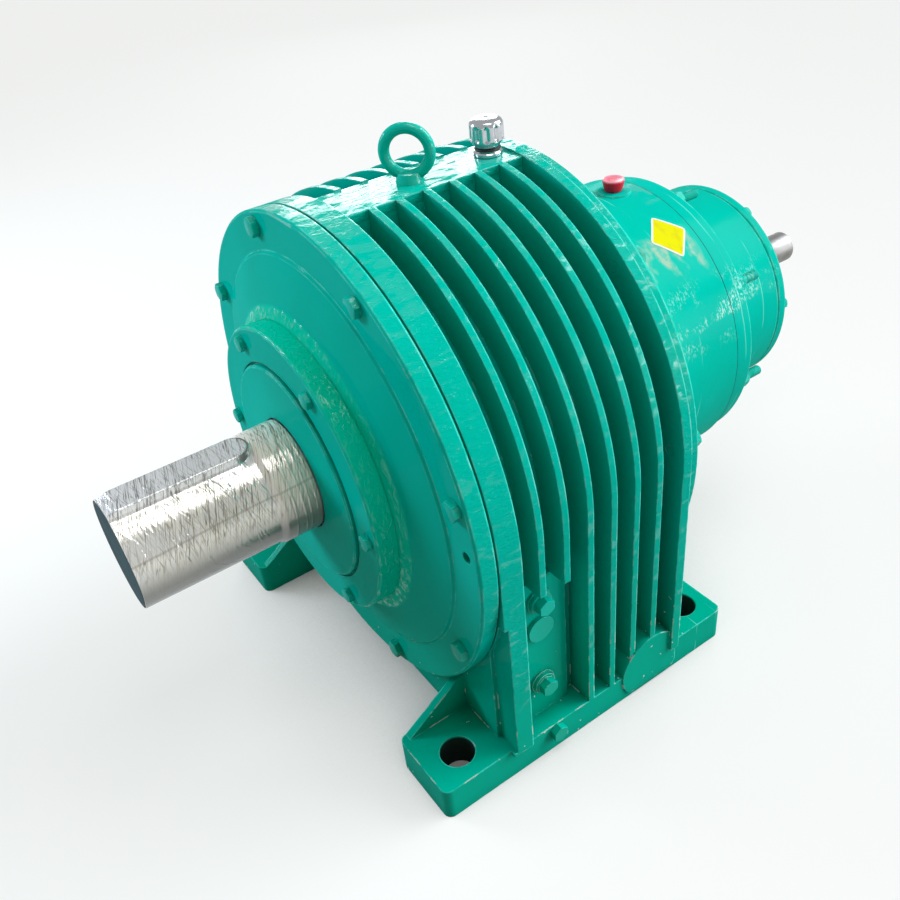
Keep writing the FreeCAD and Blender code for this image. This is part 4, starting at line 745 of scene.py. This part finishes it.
def film_radius(turn, y):
    """Radius of the taut film round the shaft, its key and its shoulder, for arrays of points."""
    step = np.clip((y - SHAFT_SHOULDER + 0.006) / 0.007, 0.0, 1.0)
    shoulder = (SEAL_JOURNAL_RADIUS - SHAFT_RADIUS) * step * step * (3.0 - 2.0 * step)
    base = SHAFT_RADIUS + FILM_GAP + shoulder
    away = np.abs((turn - KEY_ANGLE + math.pi) % (2.0 * math.pi) - math.pi)
    corner = math.atan2(KEY_HALF_WIDTH, KEY_TOP)
    rounded = KEY_HALF_WIDTH - np.sqrt(np.maximum(KEY_HALF_WIDTH ** 2 - (KEY_TOP * away) ** 2, 0.0))
    back = np.clip((KEY_END + 0.002 - rounded - y) / 0.004, 0.0, 1.0)
    ends = (0.6 + 0.4 * np.clip((y - SHAFT_END) / (KEY_START - SHAFT_END), 0.0, 1.0)) * back
    flat = KEY_TOP / np.cos(np.minimum(away, corner)) + FILM_GAP
    fall = np.exp(-np.maximum(away - corner, 0.0) / 0.026)
    return np.maximum(base, base + (flat - base) * fall * ends)


def crease_list():
    """Seeded creases: angle, station, slant, half length, width and height of each."""
    luck = random.Random(FILM_SEED)
    found = []
    for count, angle, station, slant, half, width, rise in CREASES:
        for _ in range(count):
            found.append((luck.uniform(*angle), luck.uniform(*station), luck.gauss(*slant),
                          luck.uniform(*half), luck.uniform(*width), luck.uniform(*rise)))
    return found


def film_wrinkles(turn, y):
    """Height of the creases, each a ridge with a furrow beside it, and of the rings by the cap."""
    height = np.zeros_like(turn)
    for angle, station, slant, half, width, rise in crease_list():
        round_way = ((turn - angle + math.pi) % (2.0 * math.pi) - math.pi) * SHAFT_RADIUS
        along = y - station
        length = round_way * math.cos(slant) + along * math.sin(slant)
        across = (along * math.cos(slant) - round_way * math.sin(slant)) / width
        fade = np.exp(-(length / half) ** 4)
        height += rise * fade * (np.exp(-across ** 2) - 0.6 * np.exp(-(across - 1.7) ** 2))
    for station in FILM_RINGS:
        sway = 0.0008 * np.sin(turn * 2.0 + station * 900.0)
        height += 0.00022 * np.exp(-((y - station - sway) / 0.0007) ** 2)
    return height


def shaft_film():
    """Wrapping film on the output shaft, gathered at the shoulder and folded in at the shaft's end."""
    stations = np.linspace(SHAFT_END + 0.0004, CAP_BOSS_FRONT - 0.0012, FILM_ROWS)
    turns = np.linspace(0.0, 2.0 * math.pi, FILM_STEPS, endpoint=False)
    turn, y = np.meshgrid(turns, stations)
    radius = film_radius(turn, y) + np.maximum(film_wrinkles(turn, y), FILM_FURROW)
    work = bmesh.new()
    rows = [[work.verts.new((0.985 * r * math.sin(t), SHAFT_END + 0.0001, AXIS_Z + 0.985 * r * math.cos(t)))
             for r, t in zip(radius[0], turns)]]
    for ring, station in zip(radius, stations):
        rows.append([work.verts.new((r * math.sin(t), station, AXIS_Z + r * math.cos(t)))
                     for r, t in zip(ring, turns)])
    rows_to_faces(work, rows)
    piece("shaft_film", work, MATERIALS["film"], "output_rotor")


def dress_nodes():
    """Materials of the CAD nodes that stay in view."""
    by_slot = {
        "green_paint": "enamel", "shaft_steel": "shaft", "gear_steel": "gear", "bearing_steel": "bearing",
        "breather_chrome": "chrome", "bush_bronze": "bronze", "seal_rubber": "rubber", "vent_red": "red"}
    small = ("lifting_eye_bolt", "oil_level_plugs", "oil_level_washers", "blank_plug", "drain_plug")
    slots = {entry["node"]: entry["material_slot"] for entry in frame["record"]["subparts"]}
    for name, node in frame["nodes"].items():
        node.data.materials.clear()
        node.data.materials.append(MATERIALS["fine_enamel" if name in small else by_slot[slots[name]]])


def floor():
    """Plain pale floor under the feet, lifted towards white for the eye while it keeps the shadow; the lift
    fades by ambient occlusion near and under the object, a painted contact shadow.
    """
    s = Shader("floor_white")
    s.set(Base_Color=FLOOR_GREY, Roughness=0.9, Specular_IOR_Level=0.1)
    path = s.node("LightPath")
    seen = s.math("MAXIMUM", path.outputs["Is Camera Ray"], path.outputs["Is Transmission Ray"])
    seen = s.math("MAXIMUM", seen, path.outputs["Is Glossy Ray"])
    contact_shade = s.node("AmbientOcclusion", samples=8)
    contact_shade.inputs["Distance"].default_value = 0.30
    s.set(Emission_Color=(1.0, 1.0, 0.99))
    # Painted shadow: the lift to white fades out where ambient occlusion finds the object close by.
    s.set(Emission_Strength=s.math("MULTIPLY", seen, s.ramp(contact_shade.outputs["AO"], 0.0, 0.70, 0.0, FLOOR_LIFT)))
    work = bmesh.new()
    bmesh.ops.create_grid(work, x_segments=1, y_segments=1, size=FLOOR_SIZE)
    mesh = bpy.data.meshes.new("floor")
    work.to_mesh(mesh)
    work.free()
    mesh.materials.append(s.material)
    made = bpy.data.objects.new("floor", mesh)
    bpy.context.scene.collection.objects.link(made)


def lamp(name, kind, strength, direction, distance=3.0, mirrored_only=False, **settings):
    """A lamp that shines at the object from a direction, or that only glossy surfaces mirror."""
    data = bpy.data.lights.new(name, kind)
    data.energy = strength
    for key, value in settings.items():
        setattr(data, key, value)
    made = bpy.data.objects.new(name, data)
    away = Vector(direction).normalized()
    made.location = LAMP_TARGET + away * distance
    made.rotation_mode = "QUATERNION"
    made.rotation_quaternion = (-away).to_track_quat("-Z", "Y")
    made.visible_diffuse = not mirrored_only
    bpy.context.scene.collection.objects.link(made)


def light():
    """Key from behind, an overhead softbox, a window behind left, a low strip right and a cool fill left."""
    lamp("key", "SUN", 2.9, (0.25, 0.80, 0.55), angle=math.radians(38.0), color=(0.86, 0.93, 1.0))
    lamp("overhead", "AREA", 4.6, (0.30, 0.0, 0.95), 1.35, shape="RECTANGLE", size=0.6, size_y=0.6)
    lamp("window", "AREA", 40.0, (-0.811, 0.507, 0.245), 3.0, True, shape="RECTANGLE", size=1.3, size_y=1.35,
         color=(0.92, 0.98, 1.0))
    lamp("strip", "AREA", 24.0, (0.75, 0.65, 0.14), 3.0, shape="RECTANGLE", size=0.9, size_y=1.1)
    lamp("fill", "AREA", 19.0, (-0.70, -0.62, 0.38), 1.9, shape="RECTANGLE", size=0.6, size_y=0.6,
         color=(0.70, 0.85, 1.0))
    world = bpy.data.worlds.new("surround")
    world.use_nodes = True
    tree = world.node_tree
    path = tree.nodes.new("ShaderNodeLightPath")
    seen = tree.nodes.new("ShaderNodeMath")
    seen.operation = "MAXIMUM"
    tree.links.new(path.outputs["Is Camera Ray"], seen.inputs[0])
    tree.links.new(path.outputs["Is Transmission Ray"], seen.inputs[1])
    level = tree.nodes.new("ShaderNodeMapRange")
    tree.links.new(seen.outputs[0], level.inputs["Value"])
    level.inputs["To Min"].default_value = WORLD_LIGHT
    level.inputs["To Max"].default_value = WORLD_SEEN
    mirrored = tree.nodes.new("ShaderNodeMath")
    mirrored.operation = "MULTIPLY_ADD"
    tree.links.new(path.outputs["Is Glossy Ray"], mirrored.inputs[0])
    mirrored.inputs[1].default_value = WORLD_MIRRORED
    tree.links.new(level.outputs[0], mirrored.inputs[2])
    tree.links.new(mirrored.outputs[0], tree.nodes["Background"].inputs["Strength"])
    shade = tree.nodes.new("ShaderNodeMix")
    shade.data_type = "RGBA"
    plain = tree.nodes.new("ShaderNodeMath")
    plain.operation = "MAXIMUM"
    tree.links.new(seen.outputs[0], plain.inputs[0])
    tree.links.new(path.outputs["Is Glossy Ray"], plain.inputs[1])
    tree.links.new(plain.outputs[0], shade.inputs[0])
    shade.inputs[6].default_value = SKY_WARM
    shade.inputs[7].default_value = SKY_PLAIN
    tree.links.new(shade.outputs[2], tree.nodes["Background"].inputs["Color"])
    bpy.context.scene.world = world


def camera():
    """Camera where the photograph was taken from."""
    data = bpy.data.cameras.new("camera")
    data.sensor_width = SENSOR
    data.lens = LENS
    data.clip_start = 0.01
    made = bpy.data.objects.new("camera", data)
    matrix = Matrix((CAMERA_RIGHT, CAMERA_UP, CAMERA_BACK)).transposed().to_4x4()
    matrix.translation = CAMERA_PLACE
    made.matrix_world = matrix
    bpy.context.scene.collection.objects.link(made)
    bpy.context.scene.camera = made


MATERIALS = {
    "enamel": enamel("green_enamel", CAST_ROUND, CAST_GLOSS),
    "fine_enamel": enamel("green_enamel_fine", FINE_ROUND, FINE_GLOSS),
    "shaft": turned_steel("shaft_steel", (0.30, 0.295, 0.29), (0.22, 0.215, 0.20), 0.34, 1500.0, True),
    "gear": turned_steel("gear_steel", STEEL_DARK, (0.27, 0.27, 0.28), 0.30, 900.0),
    "bearing": turned_steel("bearing_steel", (0.68, 0.68, 0.70), (0.55, 0.55, 0.57), 0.12, 2200.0),
    "chrome": chrome(),
    "bronze": bronze(),
    "rubber": rubber(),
    "red": red_plastic(),
    "label": label_stock(),
    "film": film_stock(),
}

dress_nodes()
fluted_breather_cap()
breather_foot()
dished_vent_plug()
bolt_rings()
diamond_label()
shaft_film()
floor()
light()
camera()
bpy.context.scene.view_settings.view_transform = "Standard"
